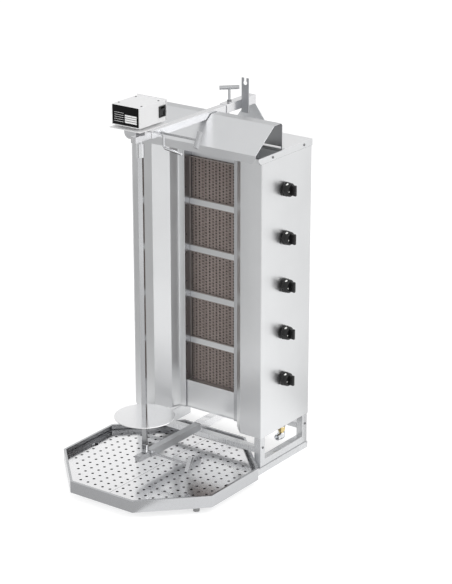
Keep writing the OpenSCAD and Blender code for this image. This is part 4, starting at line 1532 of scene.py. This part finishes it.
@dataclass
class MotorBox:
    """Painted motor box with its blank plate, its switch and the heat shield.

    A column of bars on the plate has its left and right ends, the foot of its top bar, the
    bars' height, their spacing and their count.
    """

    plate_w: float = 97.0
    plate_h: float = 58.0
    plate_t: float = 0.8
    plate_corner: float = 2.0
    plate_trim: float = 0.8
    plate_sharp: float = 30.0
    print_t: float = 0.15
    bar_columns: tuple[tuple[float, float, float, float, float, int], ...] = (
        (-41.0, -7.0, 7.0, 0.9, 6.6, 5), (-2.0, 41.5, -1.0, 4.9, 6.4, 4),
    )

    def build(self, screw: Tree) -> None:
        """Builds and dresses the motor box.

        Args:
            screw: The screw tree.
        """
        for node, finish, width, segments in (
            ("motor_cover", BOX_PAINT, 1.3, 3), ("motor_chassis", BOX_PAINT, 0.5, 2),
            ("heat_shield", BOX_PAINT, 0.5, 2), ("gear_motor", MOTOR_ENAMEL, 1.5, 3),
            ("switch_housing", SWITCH_NYLON, 0.7, 3), ("switch_rocker", SWITCH_NYLON, 0.6, 3),
        ):
            refine(node, finish, width, segments)
        paint("shield_standoffs", SCREW_STEEL)
        paint("motor_pinion", GEAR_STEEL)
        self.plate()
        self.screws(screw)

    def plate(self) -> None:
        """Puts a plain dark plate with a few blank pale bars on the front."""
        low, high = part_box("motor_cover")
        centre = Vector(((low.x + high.x) / 2, low.y, (low.z + high.z) / 2))
        rings = [
            [centre + Vector((x, -depth, z)) * MM
             for x, z in rounded_outline(self.plate_w - less, self.plate_h - less, self.plate_corner)]
            for depth, less in ((0.0, 0.0), (self.plate_t * 0.7, 0.0), (self.plate_t, self.plate_trim))
        ]
        piece = new_piece("blank_plate", lofted("blank_plate", rings))
        settle(piece, self.plate_sharp)
        add_to(piece, PLATE_FILM, "head")
        bars = [
            [centre + Vector((x, -depth, z)) * MM
             for depth in (self.plate_t * 0.5, self.plate_t + self.print_t)
             for x, z in rectangle(left, foot - k * pitch, right, foot + tall - k * pitch)]
            for left, right, foot, tall, pitch, count in self.bar_columns
            for k in range(count)
        ]
        piece = new_piece("blank_plate_bars", boxes("blank_plate_bars", bars))
        settle(piece)
        add_to(piece, PLATE_PRINT, "head")

    def screws(self, tree: Tree) -> None:
        """Sets the four screws on top of the cover.

        Args:
            tree: The screw tree.
        """
        places = [
            (Vector(((low.x + high.x) / 2, (low.y + high.y) / 2, low.z)), Vector((0, 0, 1)),
             (high.x - low.x) / 2, high.z - low.z)
            for low, high in loose_parts("cover_screws")
        ]
        stand_for(screws("cover_cross_screws", tree, places), SCREW_STEEL, "cover_screws")


@dataclass
class SpitSet:
    """Drive shaft, square spit bar with its foot, and the meat disc."""

    shaft_round: float = 0.5
    bar_round: float = 1.0
    disc_round: float = 0.8

    def build(self) -> None:
        """Rounds and dresses the spit."""
        refine("drive_shaft", TUBE_UPRIGHT, self.shaft_round)
        refine("spit_bar", SPIT_STEEL, self.bar_round, 3)
        low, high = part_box("meat_disc")
        # Bright steel disc with the rings of its lathe about its own middle
        spun = SpunMetal("SpunDiscSteel", "F7F7F8", tuple((low + high) / 2 / MM))
        refine("meat_disc", spun, self.disc_round, 3)


@dataclass
class LowerArm:
    """Fixed sleeve, sliding tube, head with its pin and clamp screw of the lower arm."""

    tube_round: float = 2.0
    head_round: float = 2.4
    screw_round: float = 1.6

    def build(self) -> None:
        """Rounds and dresses the lower arm."""
        refine("lower_sleeve", TUBE_ALONG, self.tube_round, 3)
        refine("lower_tube", TUBE_LOW, self.tube_round, 3)
        refine("lower_head", TUBE_LOW, self.head_round, 4)
        refine("lower_clamp", TURNED_STEEL, self.screw_round, 3)


@dataclass
class TraySet:
    """Eight-sided drip tray with its feet and the two perforated inserts."""

    fold_round: float = 0.7
    foot_round: float = 1.2
    floor_top: float = 26.0
    floor_lean: float = 0.9
    wall_lean: float = 0.5

    def build(self) -> None:
        """Rounds and dresses the tray."""
        # The tray's greyer sheet is painted shade for the shadowed floor it reflects
        tray = refine("drip_tray", TRAY_SHEET, self.fold_round, 3)
        low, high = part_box("drip_tray")
        centre = (low + high) / 2 / MM
        # Painted shade on the tray's floor under the insert
        part_finish(
            tray, TRAY_FLOOR,
            lambda face, middle: face.normal.z > self.floor_lean and middle.z < self.floor_top,
        )
        # Painted shade on the tray's inner walls
        part_finish(
            tray, TRAY_INNER,
            lambda face, middle: abs(face.normal.z) < self.wall_lean
            and face.normal.dot(middle - centre) < 0,
        )
        refine("tray_feet", FOOT_NYLON, self.foot_round, 3)
        for node in ("insert_left", "insert_right"):
            paint(node, INSERT_SHEET)


# ---- Studio ----


def laid(height: float, *places: Pair) -> tuple[Triple, ...]:
    """The corners of a flat card that lies at a height, in metres."""
    return tuple((x, y, height) for x, y in places)


@dataclass(frozen=True)
class Card:
    """A flat card that only reflections show, and its level of grey."""

    name: str
    level: float
    corners: tuple[Triple, ...]


@dataclass
class Studio:
    """Pale floor, soft light and the camera at the photograph's angle, in metres and degrees."""

    eye: Triple = (3.68714, -4.80935, 2.79517)
    azimuth: float = 36.01
    elevation: float = 20.11
    lens: float = 128.49
    shift: Pair = (-0.00346, 0.00601)
    view_end: float = 60.0
    sky: float = 0.78
    key_power: float = 95.0
    fill_power: float = 70.0
    lamp_aim: Triple = (0.0, 0.0, 0.6)
    floor_reach: float = 20.0
    floor_colour: str = "C4C4C4"
    floor_glow: float = 0.62
    cards: tuple[Card, ...] = (
        Card("front_edge", 0.64, laid(0.012, (-0.6, -0.4), (-0.6, -0.66), (0.4, -0.66), (0.4, -0.4))),
        Card("front_near", 0.8, laid(0.01, (-0.45, -0.65), (-1.7, -2.54), (-0.1, -2.54), (0.35, -0.65))),
        Card("front_far", 0.5, laid(0.01, (-1.7, -2.54), (-3.4, -5.2), (-0.1, -5.2), (-0.1, -2.54))),
        Card("front_left", 0.34, laid(
            0.01, (-0.45, -0.65), (-0.42, -0.25), (-4.2, -3.4), (-4.2, -5.2), (-3.4, -5.2))),
        Card("left", 0.74, laid(0.01, (-0.42, -0.25), (-0.42, 0.4), (-4.2, 0.4), (-4.2, -3.4))),
        Card("right_front", 0.84, laid(0.01, (1.1, -0.5), (4.2, -2.4), (3.4, -4.2), (0.7, -1.1))),
        Card("far_right", 0.72, laid(0.011, (0.26, 0.36), (3.2, 4.5), (0.5, 5.5), (-1.5, 1.5))),
        Card("near_right", 0.72, laid(0.013, (0.3, 0.5), (0.62, 0.7), (0.62, 1.0), (0.3, 0.8))),
        Card("under_case", 0.85, laid(0.128, (-0.2, 0.14), (-0.2, 0.34), (0.2, 0.34), (0.2, 0.14))),
        Card("sky_flag", 0.76, (
            (-2.61, 0.98, 1.3), (-0.03, 2.86, 1.3), (-0.03, 2.86, 4.2), (-2.61, 0.98, 4.2))),
    )

    def build(self) -> None:
        """Makes the camera, the world, the lights, the floor and the cards."""
        self.camera()
        self.world()
        self.lights()
        self.floor()
        for card in self.cards:
            self.card(card)
        bpy.context.scene.view_settings.view_transform = "Standard"

    def camera(self) -> None:
        """Places the camera that the photograph was fitted with."""
        data = bpy.data.cameras.new("photo_camera")
        data.lens = self.lens
        data.shift_x, data.shift_y = self.shift
        data.clip_end = self.view_end
        az, el = math.radians(self.azimuth), math.radians(self.elevation)
        forward = Vector((-math.sin(az) * math.cos(el), math.cos(az) * math.cos(el), -math.sin(el)))
        camera = bpy.data.objects.new("photo_camera", data)
        camera.location = self.eye
        camera.rotation_euler = forward.to_track_quat("-Z", "Y").to_euler()
        bpy.context.scene.collection.objects.link(camera)
        bpy.context.scene.camera = camera

    def world(self) -> None:
        """A white surround for the camera and for reflections, a little dimmer as a light."""
        world = bpy.data.worlds.new("white_surround")
        bpy.context.scene.world = world
        world.use_nodes = True
        tree = world.node_tree
        tree.nodes.clear()
        level = put(
            tree, "ShaderNodeMapRange", {"Value": self.seen(tree), "To Min": self.sky, "To Max": 1.0},
        )
        back = put(tree, "ShaderNodeBackground", {"Color": linear("FFFFFF"), "Strength": level})
        put(tree, "ShaderNodeOutputWorld", {"Surface": back})

    def seen(self, tree: Tree) -> Node:
        """One where a ray comes from the camera, a reflection or glass.

        Args:
            tree: The tree of the world or of a material.

        Returns:
            The node that says so.
        """
        rays = put(tree, "ShaderNodeLightPath").outputs
        sharp = put(
            tree, "ShaderNodeMath",
            {0: rays["Is Camera Ray"], 1: rays["Is Glossy Ray"]}, operation="MAXIMUM",
        )
        return put(
            tree, "ShaderNodeMath", {0: sharp, 1: rays["Is Transmission Ray"]}, operation="MAXIMUM",
        )

    def lights(self) -> None:
        """A large soft key from the right, high up, and a fill from the front left."""
        for name, place, size, power in (
            ("key", (4.2, 0.6, 3.6), (3.6, 3.0), self.key_power),
            ("fill", (-2.4, -4.2, 2.6), (3.0, 2.2), self.fill_power),
        ):
            data = bpy.data.lights.new(name, "AREA")
            data.shape = "RECTANGLE"
            data.size, data.size_y = size
            data.energy = power
            lamp = bpy.data.objects.new(name, data)
            lamp.location = place
            aim = Vector(self.lamp_aim) - lamp.location
            lamp.rotation_euler = aim.to_track_quat("-Z", "Y").to_euler()
            lamp.visible_glossy = name == "key"
            bpy.context.scene.collection.objects.link(lamp)

    def floor(self) -> None:
        """Lays the white floor, which glows for the camera and for reflections only."""
        reach = self.floor_reach
        floor, tree = self.sheet("studio_floor", "WhiteStudioFloor", laid(
            0.0, (-reach, -reach), (reach, -reach), (reach, reach), (-reach, reach)))
        glow = put(tree, "ShaderNodeMath", {0: self.seen(tree), 1: self.floor_glow}, operation="MULTIPLY")
        paper = put(tree, "ShaderNodeBsdfDiffuse", {"Color": linear(self.floor_colour)})
        lit = put(tree, "ShaderNodeEmission", {"Color": linear("FFFFFF"), "Strength": glow})
        both = put(tree, "ShaderNodeAddShader", {0: paper, 1: lit})
        put(tree, "ShaderNodeOutputMaterial", {"Surface": both})

    def card(self, card: Card) -> None:
        """Lays one card.

        Args:
            card: The card.
        """
        piece, tree = self.sheet(f"{card.name}_card", f"{card.name}_card", card.corners)
        grey = put(tree, "ShaderNodeEmission", {"Strength": card.level})
        put(tree, "ShaderNodeOutputMaterial", {"Surface": grey})
        piece.visible_camera = False
        piece.visible_diffuse = False
        piece.visible_shadow = False

    def sheet(self, name: str, paper: str, corners: Sequence[Triple]) -> tuple[Piece, Tree]:
        """Makes a flat sheet with its place in its mesh.

        Args:
            name: The sheet's name.
            paper: Its material's name.
            corners: Its corners in metres.

        Returns:
            The sheet and its material's empty tree.
        """
        mesh = bpy.data.meshes.new(name)
        mesh.from_pydata(corners, [], [tuple(range(len(corners)))])
        made = bpy.data.materials.new(paper)
        made.use_nodes = True
        made.node_tree.nodes.clear()
        mesh.materials.append(made)
        return new_piece(name, mesh), made.node_tree


def main() -> None:
    """Builds the studio and every sub-assembly."""
    logging.basicConfig(level=logging.INFO, format="%(message)s")
    Studio().build()
    screw = screw_tree()
    BaseFrame().build()
    CaseShell().build(screw)
    BurnerBank().build()
    GasTrain().build()
    KnobRow().build()
    UpperArm().build()
    MotorBox().build(screw)
    SpitSet().build()
    LowerArm().build()
    TraySet().build()


if __name__ == "__main__":
    main()
